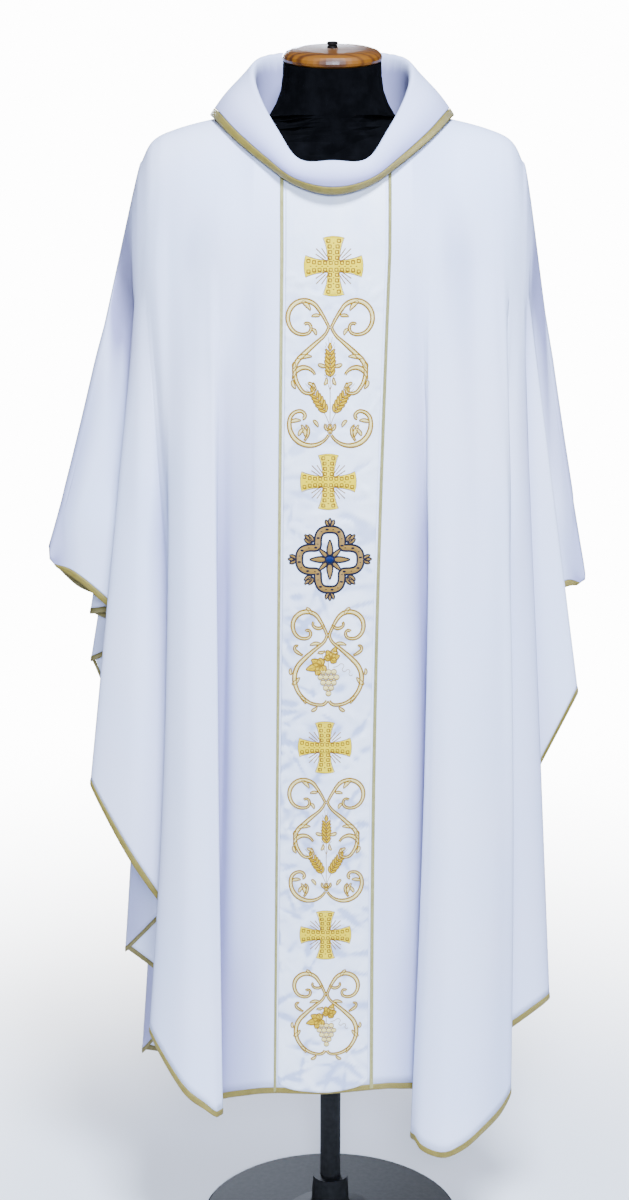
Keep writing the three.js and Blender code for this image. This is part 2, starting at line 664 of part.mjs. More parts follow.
// ---- dress form and stand ----
place('torso', formBody(), jersey);
const neckTop = FORM_RINGS.at(-1).z;
const tilt = Math.atan(NECK_SLOPE);
const cap = place('neck_cap', turned(CAP_PROFILE, 48), wood);
cap.position.set(0, 0, neckTop + GAP);
cap.rotation.x = tilt;
const knob = place('cap_knob', turned(KNOB_PROFILE, 20), metal);
const capHeight = CAP_PROFILE.at(-1)[1] + GAP;
knob.position.set(0, -Math.sin(tilt) * capHeight, neckTop + GAP + Math.cos(tilt) * capHeight);
knob.rotation.x = tilt;
place('base_plate', turned(BASE_PROFILE, 56), enamel);
const poleFoot = BASE_PROFILE.at(-1)[1] + GAP;
const poleTop = FORM_RINGS[0].z - GAP;
place('pole', turned([
  [0, poleFoot],
  [POLE.radius, poleFoot],
  [POLE.radius, poleTop - POLE.flangeHeight - 12],
  [POLE.flange, poleTop - POLE.flangeHeight],
  [POLE.flange, poleTop],
  [0, poleTop],
], 28), enamel);

export default model;
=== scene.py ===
"""Chasuble on a limbless dress form: finishes, soft folds, braid, satin and embroidery."""

import math
import random

import bpy
import numpy as np
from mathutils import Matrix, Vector


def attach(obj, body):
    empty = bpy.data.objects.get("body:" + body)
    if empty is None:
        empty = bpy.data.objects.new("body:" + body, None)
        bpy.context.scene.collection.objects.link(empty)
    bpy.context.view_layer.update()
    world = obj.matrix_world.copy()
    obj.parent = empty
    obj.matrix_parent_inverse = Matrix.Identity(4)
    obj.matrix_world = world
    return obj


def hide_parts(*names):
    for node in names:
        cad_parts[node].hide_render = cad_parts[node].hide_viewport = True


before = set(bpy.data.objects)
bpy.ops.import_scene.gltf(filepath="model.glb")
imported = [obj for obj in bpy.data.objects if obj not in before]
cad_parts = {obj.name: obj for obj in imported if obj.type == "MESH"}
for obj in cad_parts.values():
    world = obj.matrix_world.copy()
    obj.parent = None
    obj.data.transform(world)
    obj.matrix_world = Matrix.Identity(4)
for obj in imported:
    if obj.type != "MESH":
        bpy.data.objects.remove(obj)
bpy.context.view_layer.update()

MM = 0.001  # lengths below are in mm, and new_piece brings them to metres
SEED = 7

# ---- camera: the photograph's viewing angle ----
CAMERA_AT = (-0.022, -2.75, 1.527)
CAMERA_DOWN = 13  # degrees below the horizontal
CAMERA_LENS = 64.62


def make_camera():
    data = bpy.data.cameras.new("camera")
    data.lens = CAMERA_LENS
    data.sensor_width = 36
    data.clip_end = 60
    camera = bpy.data.objects.new("camera", data)
    camera.location = CAMERA_AT
    camera.rotation_euler = (math.radians(90 - CAMERA_DOWN), 0, 0)
    bpy.context.scene.collection.objects.link(camera)
    bpy.context.scene.camera = camera


make_camera()

# ---- cloth sizes, in mm, as in the part's source ----
CLOTH = 1.6  # the shell, a little thinner than the solid wall
WALL_HALF = 1.0  # half of the solid wall, on which the satin lies
BINDING = 2.5  # folded ribbon round an edge
GAP = 0.3
HEM_BINDING = 8
COLLAR_BINDING = 10
NECK_SIDE = 96
NECK_DEPTH = {"front": 106, "back": 98}
NECK_Z = 1516
NECK_ARC = 150
ROLL_DROP = 165
ROLL_HALF = 262
ROLL_DEPTH = {"front": 128, "back": 124}
ROLL_MIN_DEPTH = 9
ROLL_MIN_DROP = 27
SEAM_SPREAD = 4

ARC_ROWS = 18  # rows of the shell over the roll
HANG_ROWS = 84  # rows of the shell in the hanging part
BINDING_ROWS = 4

# ---- painted shade: how the folds' depth darkens the cloth's colour ----
SHADE_LEVEL = 0.17  # painted shade of flat cloth, from 0 to 1
SHADE_SLEEVE = 0.6  # painted shade along a sleeve's outer edge, where the cloth turns away from the light
SHADE_LOW = 0.2  # painted shade added towards the hem, where the light is dimmer
SHADE_CREASE = 0.085  # painted shade for each mm of a soft trough, and painted light for each mm of a ridge
FOLD_REACH = 55  # how far round a point its fold is looked at
FOLD_DEPTH = 14  # how deep a trough takes the full painted shade
EDGE_REACH = 24  # how far in from its outer edge a sleeve's painted shade reaches
# painted shade on the collar: its flat level, inside the roll, along the lower edge, and more along
# the front's lower edge
COLLAR_SHADE = {"level": 0.36, "inside": 0.72, "edge": 0.25, "front_edge": 0.6}


def table(columns, rows):
    """A short table: one dict for each row, keyed by the names of the columns."""
    names = columns.split()
    return [dict(zip(names, row)) for row in rows]


SEAM = {
    "left": table("x z", [
        (96, 1516), (152, 1505.5), (195, 1494), (222, 1481), (236, 1458),
        (247, 1425), (298, 1214), (345, 1040), (370, 956),
    ]),
    "right": table("x z", [
        (96, 1516), (152, 1505.5), (195, 1494), (222, 1481), (236, 1458),
        (246, 1425), (279, 1214), (310, 1040), (331, 929),
    ]),
}

# Folds: start along the top edge, where each meets the hem, side bow, doubled edge's turn, strips.
FOLDS = {
    "front": table("start x y z bow turn spans", [
        (-817, -356, -9, 937, 0, 0, 2),
        (-640, -322, -20, 916, 0, 0, 2),
        (-430, -272, -22, 870, 0, 0, 1),
        (-346, -236, -24, 835, 8, 5, 1),
        (-326, -315, -50, 656, 0, 5, 1),
        (-308, -262, -84, 560, 0, 0, 1),
        (-288, -182, -84, 440, 0, 6, 1),
        (-266, -238, -108, 333, 16, 6, 1),
        (-238, -191, -150, 262, 4, 0, 2),
        (-205, -147, -142, 229, -2, 6, 1),
        (-188, -166, -100, 226, 6, 6, 2),
        (-150, -112, -124, 249, 0, 0, 4),
        (-60, -70, -144, 262, 0, 0, 2),
        (0, -11, -149, 263, 2, 0, 2),
        (70, 47, -144, 266, 6, 0, 3),
        (124, 90, -125, 259, 4, 0, 2),
        (156, 133, -98, 236, -10, 6, 2),
        (176, 108, -144, 196, -8, 6, 3),
        (206, 149, -172, 184, 0, 0, 2),
        (240, 198, -158, 212, -4, 0, 2),
        (262, 236, -124, 253, -8, 6, 1),
        (278, 190, -106, 300, 0, 6, 1),
        (292, 250, -90, 338, 0, 0, 1),
        (306, 290, -66, 363, 0, 5, 1),
        (322, 236, -54, 600, 0, 5, 1),
        (338, 321, -38, 777, 0, 5, 1),
        (358, 262, -24, 880, 0, 5, 1),
        (430, 277, -21, 892, 0, 0, 2),
        (640, 302, -17, 912, 0, 0, 2),
        (844, 319, -9, 914, 0, 0, 0),
    ]),
    "back": table("start x y z bow turn spans", [
        (-822, -360, 9, 936, 0, 0, 2),
        (-640, -334, 24, 905, 0, 0, 2),
        (-430, -288, 29, 884, 0, 0, 1),
        (-354, -262, 34, 872, 0, 4, 1),
        (-338, -321, 52, 862, 0, 4, 1),
        (-322, -244, 66, 826, 0, 4, 1),
        (-306, -325, 84, 788, 0, 4, 1),
        (-290, -200, 97, 450, 0, 5, 1),
        (-274, -289, 114, 356, 0, 5, 1),
        (-256, -196, 122, 285, 0, 5, 1),
        (-238, -271, 148, 186, 0, 6, 1),
        (-204, -200, 176, 166, 0, 0, 2),
        (-174, -142, 160, 186, 0, 6, 1),
        (-154, -128, 116, 205, 0, 6, 3),
        (-75, -60, 142, 206, 0, 0, 3),
        (0, 4, 148, 204, 0, 0, 3),
        (75, 64, 140, 208, 0, 0, 3),
        (154, 134, 112, 210, 0, 6, 2),
        (174, 130, 160, 190, 0, 6, 2),
        (206, 190, 174, 182, 0, 0, 2),
        (238, 249, 146, 226, 0, 6, 1),
        (262, 186, 122, 300, 0, 5, 1),
        (286, 279, 104, 392, 0, 5, 1),
        (310, 210, 86, 560, 0, 5, 1),
        (332, 303, 62, 772, 0, 5, 1),
        (354, 250, 36, 884, 0, 5, 1),
        (430, 268, 30, 893, 0, 0, 2),
        (640, 296, 22, 908, 0, 0, 2),
        (844, 319, 9, 914, 0, 0, 0),
    ]),
}

# Soft troughs (-) and ridges (+): line from x0 z0 to x1 z1, width, height, columns used.
CREASES = {
    "front": table("x0 z0 x1 z1 width height low high", [
        (-128, 1405, -152, 1210, 26, 3.0, -330, -90),
        (-172, 1400, -186, 1120, 20, -2.0, -330, -120),
        (-212, 1380, -238, 1010, 22, 4.5, -420, -250),
        (-262, 1240, -312, 960, 34, 4.0, -760, -400),
        (-232, 1330, -284, 1010, 26, -3.0, -760, -340),
        (-96, 1330, -104, 980, 24, -1.6, -190, -80),
        (-122, 900, -120, 420, 22, 2.0, -190, -90),
        (168, 1400, 178, 860, 26, -3.4, 110, 262),
        (128, 1390, 122, 1010, 22, 2.4, 90, 200),
        (206, 1390, 226, 980, 20, 2.6, 200, 330),
        (252, 1260, 284, 980, 30, 3.0, 380, 760),
        (228, 1330, 262, 1040, 24, -2.4, 330, 700),
        (96, 880, 92, 430, 22, 1.8, 84, 156),
    ]),
    "back": table("x0 z0 x1 z1 width height low high", [
        (-40, 1420, -36, 700, 34, 2.6, -130, 30),
        (52, 1410, 46, 760, 30, -2.2, -10, 130),
        (-128, 1400, -150, 1190, 26, 3.0, -330, -90),
        (126, 1400, 150, 1180, 26, 3.0, 90, 330),
        (-172, 1390, -196, 1010, 24, -2.6, -330, -120),
        (178, 1390, 200, 960, 24, -2.6, 120, 330),
        (-268, 1240, -312, 960, 34, 4.0, -760, -400),
        (256, 1250, 288, 970, 32, 3.4, 390, 760),
        (232, 1330, 266, 1030, 24, -2.6, 330, 700),
        (-236, 1330, -286, 1010, 26, -2.8, -760, -340),
    ]),
}

BAND = {"left": -60, "right": 70, "round": 14}
BRAIDS = table("name low high", [("braid_left", -68, -64), ("braid_right", 74, 78)])

COLLAR = table("angle roll rollZ edge edgeZ", [
    (0, 122, 1459, 134, 1420),
    (20, 121, 1460, 133, 1431),
    (37, 111, 1494, 134, 1454),
    (57, 103, 1526, 140, 1482),
    (78, 100, 1553, 148, 1507),
    (98, 100, 1571, 152, 1510),
    (122, 103, 1583, 138, 1486),
    (150, 108, 1589, 120, 1470),
    (180, 110, 1590, 114, 1462),
])
COLLAR_COLUMNS = 240
COLLAR_ROWS = 58
COLLAR_GAP = 0.45
COLLAR_FOOT = (2.2, 2.1)  # how far its foot stands in from the neckline, and above the panels
COLLAR_STAND = 3.5


# ---- small maths ----
def ease(t):
    u = np.clip(t, 0, 1)
    return u * u * (3 - 2 * u)


def lower(z, start, reach):
    """From 0 at a height to 1 at reach mm below it."""
    return ease((start - z) / reach)


def run_of(path):
    """Distance along a path at each of its points."""
    return np.concatenate([[0], np.cumsum(np.linalg.norm(np.diff(path, axis=0), axis=1))])


def resample(path, run, lengths):
    """A path's values at the given distances along it."""
    return np.stack([np.interp(lengths, run, path[:, k]) for k in range(3)], axis=-1)


def unit(v):
    return v / np.maximum(np.linalg.norm(v, axis=-1, keepdims=True), 1e-9)


def dot(a, b):
    return (a * b).sum(axis=-1, keepdims=True)


def square_to(v, way):
    """The part of v that runs square to way."""
    return v - way * dot(v, way)


def along(rows, key, place):
    """Catmull-Rom value of one column of a table at a place counted in rows."""
    last = len(rows) - 1
    i = min(max(math.floor(place), 0), last - 1)
    f = place - i
    b = rows[i][key]
    c = rows[i + 1][key]
    a = rows[i - 1][key] if i > 0 else 2 * b - c
    d = rows[i + 2][key] if i < last - 1 else 2 * c - b
    cubic = (3 * b - a - 3 * c + d) * f**3
    return 0.5 * (2 * b + (c - a) * f + (2 * a - 5 * b + 4 * c - d) * f * f + cubic)


def between(rows, key, by, value):
    """Smooth value of a table's column between rows set at uneven steps of another column."""
    last = len(rows) - 1
    i = 0
    while i < last - 1 and value > rows[i + 1][by]:
        i += 1

    def slope(k):
        if k in (0, last):
            return 0
        return (rows[k + 1][key] - rows[k - 1][key]) / (rows[k + 1][by] - rows[k - 1][by])

    step = rows[i + 1][by] - rows[i][by]
    f = min(max((value - rows[i][by]) / step, 0), 1)
    h = f * f * (3 - 2 * f)
    rise = slope(i) * step * f * (1 - f) ** 2 - slope(i + 1) * step * f * f * (1 - f)
    return rows[i][key] * (1 - h) + rows[i + 1][key] * h + rise


# ---- the panels' surface ----
def seam_line(rows):
    places = np.linspace(0, len(rows) - 1, 321)
    x = np.array([along(rows, "x", place) for place in places])
    z = np.array([along(rows, "z", place) for place in places])
    run = np.concatenate([[0], np.cumsum(np.hypot(np.diff(x), np.diff(z)))])
    return x, z, run


SIDES = (("left", -1), ("right", 1))
OUTWARD = {"front": -1, "back": 1}
SEAM_LINES = {side: seam_line(rows) for side, rows in SEAM.items()}


def roll_depth(x, face):
    q = min(abs(x) / ROLL_HALF, 1)
    return ROLL_MIN_DEPTH + (ROLL_DEPTH[face] - ROLL_MIN_DEPTH) * (1 - q**2.3) ** 0.6


def roll_height(x, y):
    """Height of the rolled shoulders at a plan point."""
    face = "front" if y < 0 else "back"
    ridge = NECK_Z
    if abs(x) > NECK_SIDE:
        rows = SEAM["left" if x < 0 else "right"]
        ridge = np.interp(abs(x), [row["x"] for row in rows], [row["z"] for row in rows])
    q = min(abs(y) / roll_depth(x, face), 1)
    return ridge - ROLL_DROP * (1 - math.sqrt(1 - q * q))


def top_edge(start, face):
    """Where a panel's top edge lies: the neckline's arc, then the shoulder seam."""
    sign = -1 if start < 0 else 1
    out = OUTWARD[face]
    run = abs(start)
    if run < NECK_ARC:
        turn = run / NECK_ARC * math.pi / 2
        x = sign * NECK_SIDE * math.sin(turn)
        y = NECK_DEPTH[face] * math.cos(turn)
        depth = roll_depth(x, face)
        roll = math.asin(min(y / depth, 1))
        p = (x, out * y, NECK_Z - ROLL_DROP * (1 - math.cos(roll)))
        return {"p": p, "roll": roll, "depth": depth, "drop": ROLL_DROP, "seam": False}
    x, z, length = SEAM_LINES["left" if sign < 0 else "right"]
    px = sign * np.interp(run - NECK_ARC, length, x)
    pz = np.interp(run - NECK_ARC, length, z)
    drop = max(ROLL_DROP * float(ease((pz - 1320) / 150)), ROLL_MIN_DROP)
    depth = roll_depth(px, face)
    return {"p": (px, out * GAP / 2, pz), "roll": 0, "depth": depth, "drop": drop, "seam": True}


class Column:
    """One column of a panel's middle surface: over the roll, then down to the hem."""

    def __init__(self, fold, face):
        self.fold = fold
        self.out = OUTWARD[face]
        top = top_edge(fold["start"], face)
        self.top = top
        self.base = top["p"][1] if top["seam"] else 0
        reach = top["p"][2] - fold["z"]
        self.drop = min(top["drop"], 0.6 * reach / math.cos(top["roll"]))
        self.crest = top["p"][2] + self.drop * (1 - math.cos(top["roll"]))
        self.edge = self.base + self.out * top["depth"]
        self.hang_z = self.crest - self.drop
        self.length = math.dist(
            (fold["x"], fold["y"], fold["z"]), (top["p"][0], self.edge, self.hang_z)
        )

    def roll(self, f):
        a = self.top["roll"] + (math.pi / 2 - self.top["roll"]) * f
        y = self.base + self.out * self.top["depth"] * np.sin(a)
        y = np.where(f == 0, self.top["p"][1], y)
        z = self.crest - self.drop * (1 - np.cos(a))
        return np.stack([np.full_like(y, self.top["p"][0]), y, z], axis=-1)

    def hang(self, f):
        fold = self.fold
        x0 = self.top["p"][0]
        side = -1 if x0 < 0 else 1
        x = x0 + (fold["x"] - x0) * f - side * fold["bow"] * np.sin(math.pi * f)
        y = self.edge + (fold["y"] - self.edge) * np.sin(f * math.pi / 2)
        z = self.hang_z + (fold["z"] - self.hang_z) * f
        return np.stack([x, y, z], axis=-1)

    def points(self, slant):
        """Rows over the roll, rows of the hanging cloth, then the rows of the binding."""
        binding = min(HEM_BINDING / slant, 0.45 * self.length) / self.length
        gap = GAP / slant / self.length
        arc = (np.arange(ARC_ROWS) / ARC_ROWS) ** 1.3
        hang = np.arange(HANG_ROWS + 1) / HANG_ROWS * (1 - binding - gap)
        trim = 1 - binding * (1 - np.arange(BINDING_ROWS + 1) / BINDING_ROWS)
        return np.concatenate([self.roll(arc), self.hang(hang), self.hang(trim)])


PANEL_END = ARC_ROWS + HANG_ROWS  # last row of a panel's cloth
HEM_TOP = PANEL_END + 1  # first row of its binding
HEM_END = HEM_TOP + BINDING_ROWS


def coarse_panel(face):
    """The fold table's columns, with the two extra columns that round each doubled edge."""
    rows = FOLDS[face]
    places = []
    for i, row in enumerate(rows):
        places.append((float(i), row["turn"]))
        places += [(i + k / row["spans"], 0) for k in range(1, row["spans"])]
    keys = ("start", "x", "y", "z", "bow")
    folds = [{key: along(rows, key, place) for key in keys} for place, _ in places]
    paths = [Column(fold, face) for fold in folds]
    one = np.array([1.0])
    hems = [path.hang(one)[0] for path in paths]
    last = len(paths) - 1
    plain = []
    slants = []
    for i, path in enumerate(paths):
        run = unit(hems[min(i + 1, last)] - hems[max(i - 1, 0)])
        down = unit(path.hang(one)[0] - path.hang(one * 0.9)[0])
        slant = np.linalg.norm(np.cross(run, down))
        slants.append(1.0 if places[i][1] else float(np.clip(slant, 0.5, 1)))
        plain.append(path.points(slants[i]))
    hanging = (np.arange(HEM_END + 1) - ARC_ROWS) / HANG_ROWS
    opened = ease(2 * hanging)[:, None]
    columns = []
    starts = []
    for i, column in enumerate(plain):
        turn = places[i][1]
        for side in (-1, 0, 1) if turn else (0,):
            start = folds[i]["start"] + side * SEAM_SPREAD
            starts.append(start)
            if side == 0:
                columns.append(column)
                continue
            own = Column({**folds[i], "start": start}, face).points(slants[i])
            below = np.concatenate([column[1:], column[-1:]])
            above = np.concatenate([column[:1], column[:-1]])
            down = unit(below - above)
            before = plain[max(i - 1, 0)]
            after = plain[min(i + 1, last)]
            across = square_to(after - before, down)
            back = square_to((after + before) / 2 - column, down)
            size = np.linalg.norm(back, axis=-1, keepdims=True)
            back = unit(back)
            across = unit(across - back * dot(across, back) * size / (size + 2))
            near = after if side > 0 else before
            reach = np.minimum(turn, 0.4 * np.linalg.norm(near - column, axis=-1, keepdims=True))
            columns.append(own + (column + across * side * reach - own) * opened)
    return np.array(columns), np.array(starts)


def extended(rows):
    """The rows with one more before the first and after the last, in a straight line."""
    return np.concatenate([2 * rows[:1] - rows[1:2], rows, 2 * rows[-1:] - rows[-2:-1]])


def mixed_at(t, a, b, ta, tb):
    return (a * (tb - t) + b * (t - ta)) / (tb - ta)


def refine(columns, starts, step=8.0):
    """Centripetal Catmull-Rom between the columns, row by row, at most about step mm apart."""
    around = extended(columns)
    ends = extended(starts)
    points = []
    marks = []
    for i in range(len(columns) - 1):
        p = around[i : i + 4]
        knots = [np.zeros((p[0].shape[0], 1))]
        for k in range(3):
            gap = np.linalg.norm(p[k + 1] - p[k], axis=-1, keepdims=True)
            knots.append(knots[k] + np.sqrt(gap + 1e-6))
        widest = np.linalg.norm(p[2] - p[1], axis=-1).max()
        pieces = int(np.clip(math.ceil(widest / step), 2, 12))
        for k in range(pieces):
            f = k / pieces
            t = knots[1] + (knots[2] - knots[1]) * f
            a = [mixed_at(t, p[m], p[m + 1], knots[m], knots[m + 1]) for m in range(3)]
            b = [mixed_at(t, a[m], a[m + 1], knots[m], knots[m + 2]) for m in range(2)]
            points.append(mixed_at(t, b[0], b[1], knots[1], knots[2]))
            marks.append(ends[i + 1] + (ends[i + 2] - ends[i + 1]) * f)
    points.append(columns[-1])
    marks.append(starts[-1])
    return np.array(points), np.array(marks)


def grid_normals(points, outward, closed=False):
    if closed:
        across = np.roll(points, -1, axis=0) - np.roll(points, 1, axis=0)
    else:
        across = np.gradient(points, axis=0)
    down = np.gradient(points, axis=1)
    return unit(np.cross(across, down)) * outward


def crease_heights(face, points, starts):
    """How far the soft troughs and ridges move each point of a panel."""
    total = np.zeros(points.shape[:2])
    for crease in CREASES[face]:
        top = np.array([crease["x0"], crease["z0"]])
        way = np.array([crease["x1"], crease["z1"]]) - top
        offset = points[..., [0, 2]] - top
        t = (offset @ way) / (way @ way)
        side = np.abs(offset[..., 0] * way[1] - offset[..., 1] * way[0]) / np.linalg.norm(way)
        ends = ease((t + 0.12) / 0.3) * ease((1.12 - t) / 0.3)
        room = ease((starts - crease["low"]) / 25) * ease((crease["high"] - starts) / 25)
        total += crease["height"] * np.exp(-((side / crease["width"]) ** 2)) * ends * room[:, None]
    return total


def panel_surface(face):
    columns, starts = coarse_panel(face)
    points, starts = refine(columns, starts)
    outward = OUTWARD[face]
    normals = grid_normals(points, outward)
    creases = crease_heights(face, points, starts)
    points = points + normals * creases[..., None]
    normals = grid_normals(points, outward)
    flat = normals[:, 0].copy()
    flat[:, 1] = np.where(np.abs(starts) >= NECK_ARC, 0, flat[:, 1])
    normals[:, 0] = unit(flat)
    return {
        "points": points, "normals": normals, "starts": starts, "outward": outward,
        "creases": creases,
    }


def fold_shade(panel):
    """Painted shade, from 0 on the crests to 1 in the troughs, with a soft band along the sleeves'
    outer edges, more towards the hem and less on crease ridges.
    """
    points = panel["points"]
    gaps = np.linalg.norm(np.diff(points, axis=0), axis=-1)
    across = np.concatenate([np.zeros((1, points.shape[1])), np.cumsum(gaps, axis=0)])
    z = points[..., 2]
    shade = np.zeros(z.shape)
    # painted shade: darker where the cloth lies below its smoothed level, in the troughs, and
    # lighter on the crests
    for k in range(z.shape[1]):
        y = points[:, k, 1]
        weight = np.exp(-(((across[:, None, k] - across[None, :, k]) / FOLD_REACH) ** 2))
        level = (weight @ y) / weight.sum(axis=1)
        shade[:, k] = SHADE_LEVEL + panel["outward"] * (level - y) / FOLD_DEPTH
    below_shoulder = lower(z, 1340, 240)
    # painted shade in a soft band along each sleeve's outer edge, where the cloth turns away from
    # the light
    for label, side in SIDES:
        seam_x, seam_z, _ = SEAM_LINES[label]
        inward = np.interp(z, seam_z[::-1], seam_x[::-1]) - side * points[..., 0]
        own = np.where(side * points[..., 0] > 0, below_shoulder, 0)
        shade += SHADE_SLEEVE * own * np.exp(-((np.maximum(inward, 0) / EDGE_REACH) ** 2))
    # painted shade growing towards the hem, darker in the creases' troughs and lighter on their
    # ridges
    shade += SHADE_LOW * lower(z, 1000, 600) - SHADE_CREASE * panel["creases"]
    return np.clip(shade, 0, 1)


def at_starts(panel, wanted):
    """A panel's columns at other distances along its top edge."""
    starts = panel["starts"]
    place = np.interp(wanted, starts, np.arange(len(starts)))
    low = np.minimum(place.astype(int), len(starts) - 2)
    f = (place - low)[:, None, None]
    points = panel["points"][low] * (1 - f) + panel["points"][low + 1] * f
    normals = unit(panel["normals"][low] * (1 - f) + panel["normals"][low + 1] * f)
    return points, normals


# ---- meshes ----
def new_piece(name, verts, faces, material, uvs=None):
    """A mesh object in metres that rides on the body. Vertices come in millimetres."""
    mesh = bpy.data.meshes.new(name)
    mesh.from_pydata((np.asarray(verts) * MM).tolist(), [], [tuple(face) for face in faces])
    if uvs is not None:
        layer = mesh.uv_layers.new(name="UVMap")
        loops = np.zeros(len(mesh.loops), dtype=np.int32)
        mesh.loops.foreach_get("vertex_index", loops)
        layer.data.foreach_set("uv", np.asarray(uvs, dtype=np.float32)[loops].ravel())
    mesh.polygons.foreach_set("use_smooth", [True] * len(mesh.polygons))
    mesh.materials.append(material)
    mesh.update()
    piece = bpy.data.objects.new(name, mesh)
    bpy.context.scene.collection.objects.link(piece)
    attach(piece, "root")
    return piece


def grid_faces(columns, rows, base=0, closed=False, flip=False):
    spans = columns if closed else columns - 1
    i, j = np.meshgrid(np.arange(spans), np.arange(rows - 1), indexing="ij")
    a = base + i * rows + j
    b = base + ((i + 1) % columns) * rows + j
    quads = np.stack([a, b, b + 1, a + 1], axis=-1).reshape(-1, 4)
    return quads[:, ::-1] if flip else quads


def run_lengths(points, axis):
    steps = np.linalg.norm(np.diff(points, axis=axis), axis=-1)
    steps = steps.mean(axis=1 - axis)
    return np.concatenate([[0], np.cumsum(steps)])


def shell(
    name, points, normals, outward, material, thickness, offset=0.0, closed=False, round_end=False,
    shade=None,
):
    """Closed shell round a grid of points, with softly rounded edges along its last row."""
    columns, rows = points.shape[:2]
    half = np.full(rows, thickness / 2)
    if round_end:
        half[-1] *= 0.55
    out = points + normals * (offset + half[None, :, None])
    inn = points + normals * (offset - half[None, :, None])
    verts = np.concatenate([out.reshape(-1, 3), inn.reshape(-1, 3)])
    base = columns * rows
    flip = outward < 0
    faces = [
        grid_faces(columns, rows, 0, closed, flip),
        grid_faces(columns, rows, base, closed, not flip),
    ]

    def edge(ids):
        quads = np.stack([ids[:-1], ids[1:], ids[1:] + base, ids[:-1] + base], axis=-1)
        faces.append(quads)

    across = np.arange(columns + (1 if closed else 0)) % columns * rows
    edge((across if flip else across[::-1]).copy())
    edge((across[::-1] if flip else across) + rows - 1)
    if not closed:
        down = np.arange(rows)
        edge(down[::-1] if flip else down)
        last = down + (columns - 1) * rows
        edge(last if flip else last[::-1])
    u = run_lengths(points, 0)
    v = run_lengths(points, 1)
    uv = np.stack(np.meshgrid(u, v, indexing="ij"), axis=-1).reshape(-1, 2) * MM
    piece = new_piece(name, verts, np.concatenate(faces), material, np.concatenate([uv, uv]))
    if shade is not None:
        layer = piece.data.attributes.new("shade", "FLOAT", "POINT")
        layer.data.foreach_set("value", np.tile(shade.ravel(), 2).astype(np.float32))
    return piece


# ---- materials ----
def material(name, colour, roughness, metallic=0.0, sheen=0.0, coat=0.0, gloss=0.5):
    mat = bpy.data.materials.new(name)
    mat.use_nodes = True
    bsdf = mat.node_tree.nodes["Principled BSDF"]
    bsdf.inputs["Base Color"].default_value = (*colour, 1)
    bsdf.inputs["Roughness"].default_value = roughness
    bsdf.inputs["Metallic"].default_value = metallic
    bsdf.inputs["Specular IOR Level"].default_value = gloss
    bsdf.inputs["Sheen Weight"].default_value = sheen
    bsdf.inputs["Sheen Roughness"].default_value = 0.4
    bsdf.inputs["Coat Weight"].default_value = coat
    bsdf.inputs["Coat Roughness"].default_value = 0.08
    return mat, mat.node_tree, bsdf


def add(tree, kind, **settings):
    """A node with its settings, each a value or link of a socket, or else a property."""
    node = tree.nodes.new("ShaderNode" + kind)
    for key, value in settings.items():
        socket = key.replace("_", " ").title()
        if isinstance(value, bpy.types.NodeSocket):
            tree.links.new(value, node.inputs[socket])
        elif socket in node.inputs:
            node.inputs[socket].default_value = value
        else:
            setattr(node, key, value)
    return node


def coordinates(tree, output="Object", scale=(1, 1, 1)):
    source = add(tree, "TexCoord").outputs[output]
    return add(tree, "Mapping", vector=source, scale=scale).outputs["Vector"]


def texture(tree, kind, output="Object", stretch=(1, 1, 1), **settings):
    """A texture's value over the surface, from the object's own place or from its UVs."""
    where = coordinates(tree, output, stretch)
    return add(tree, "Tex" + kind, vector=where, **settings).outputs["Fac"]


def ramp(tree, factor, stops):
    node = add(tree, "ValToRGB", fac=factor)
    elements = node.color_ramp.elements
    while len(elements) > 1:
        elements.remove(elements[-1])
    elements[0].position, elements[0].color = stops[0][0], (*stops[0][1], 1)
    for place, colour in stops[1:]:
        elements.new(place).color = (*colour, 1)
    return node.outputs["Color"]


def tinted(tree, bsdf, factor, stops):
    tree.links.new(ramp(tree, factor, stops), bsdf.inputs["Base Color"])


def bump(tree, bsdf, height, distance, strength=1.0, below=None):
    node = add(tree, "Bump", height=height, strength=strength, distance=distance)
    if below is not None:
        tree.links.new(below, node.inputs["Normal"])
    tree.links.new(node.outputs["Normal"], bsdf.inputs["Normal"])
    return node.outputs["Normal"]


def shaded(tree, bsdf, colour, deep):
    """Cloth colour darkened towards the deep colour by the painted shade stored on the surface."""
    depth = add(tree, "Attribute", attribute_name="shade").outputs["Fac"]
    mix = add(tree, "MixRGB", blend_type="MULTIPLY", fac=depth, color1=colour, color2=(*deep, 1))
    tree.links.new(mix.outputs["Color"], bsdf.inputs["Base Color"])


def crepe_material():
    """Matte white crepe: fine grain, a faint cool tone that drifts over the cloth, and painted
    shade from the surface's shade values.
    """
    mat, tree, bsdf = material("cloth_crepe", (0.72, 0.77, 0.95), 0.85)
    drift = texture(tree, "Noise", scale=5.0, detail=2.0)
    tones = [(0.3, (0.7, 0.765, 0.97)), (0.7, (0.77, 0.79, 0.955))]
    # painted shade: the cloth darkens towards lavender where its shade value is high
    shaded(tree, bsdf, ramp(tree, drift, tones), (0.44, 0.4, 0.53))
    weave = texture(tree, "Wave", "UV", scale=520.0, distortion=1.5, detail=1.0)
    grain = texture(tree, "Noise", scale=900.0, detail=3.0, roughness=0.7)
    low = bump(tree, bsdf, weave, 0.00012, 0.35)
    bump(tree, bsdf, grain, 0.00025, 0.5, low)
    return mat


def galloon_material(name, light, dark, scale=430.0):
    """Flat woven gold: slanting threads, darker between them, a soft metal gleam."""
    mat, tree, bsdf = material(name, light, 0.5, metallic=0.25, sheen=0.1)
    threads = texture(
        tree, "Wave", "UV", scale=scale, distortion=1.2, detail=2.0, bands_direction="DIAGONAL"
    )
    worn = add(tree, "Math", operation="MULTIPLY")
    tree.links.new(threads, worn.inputs[0])
    tree.links.new(texture(tree, "Noise", scale=120.0, detail=3.0), worn.inputs[1])
    tinted(tree, bsdf, worn.outputs[0], [(0.05, dark), (0.5, light)])
    bump(tree, bsdf, threads, 0.0003, 0.8)
    return mat


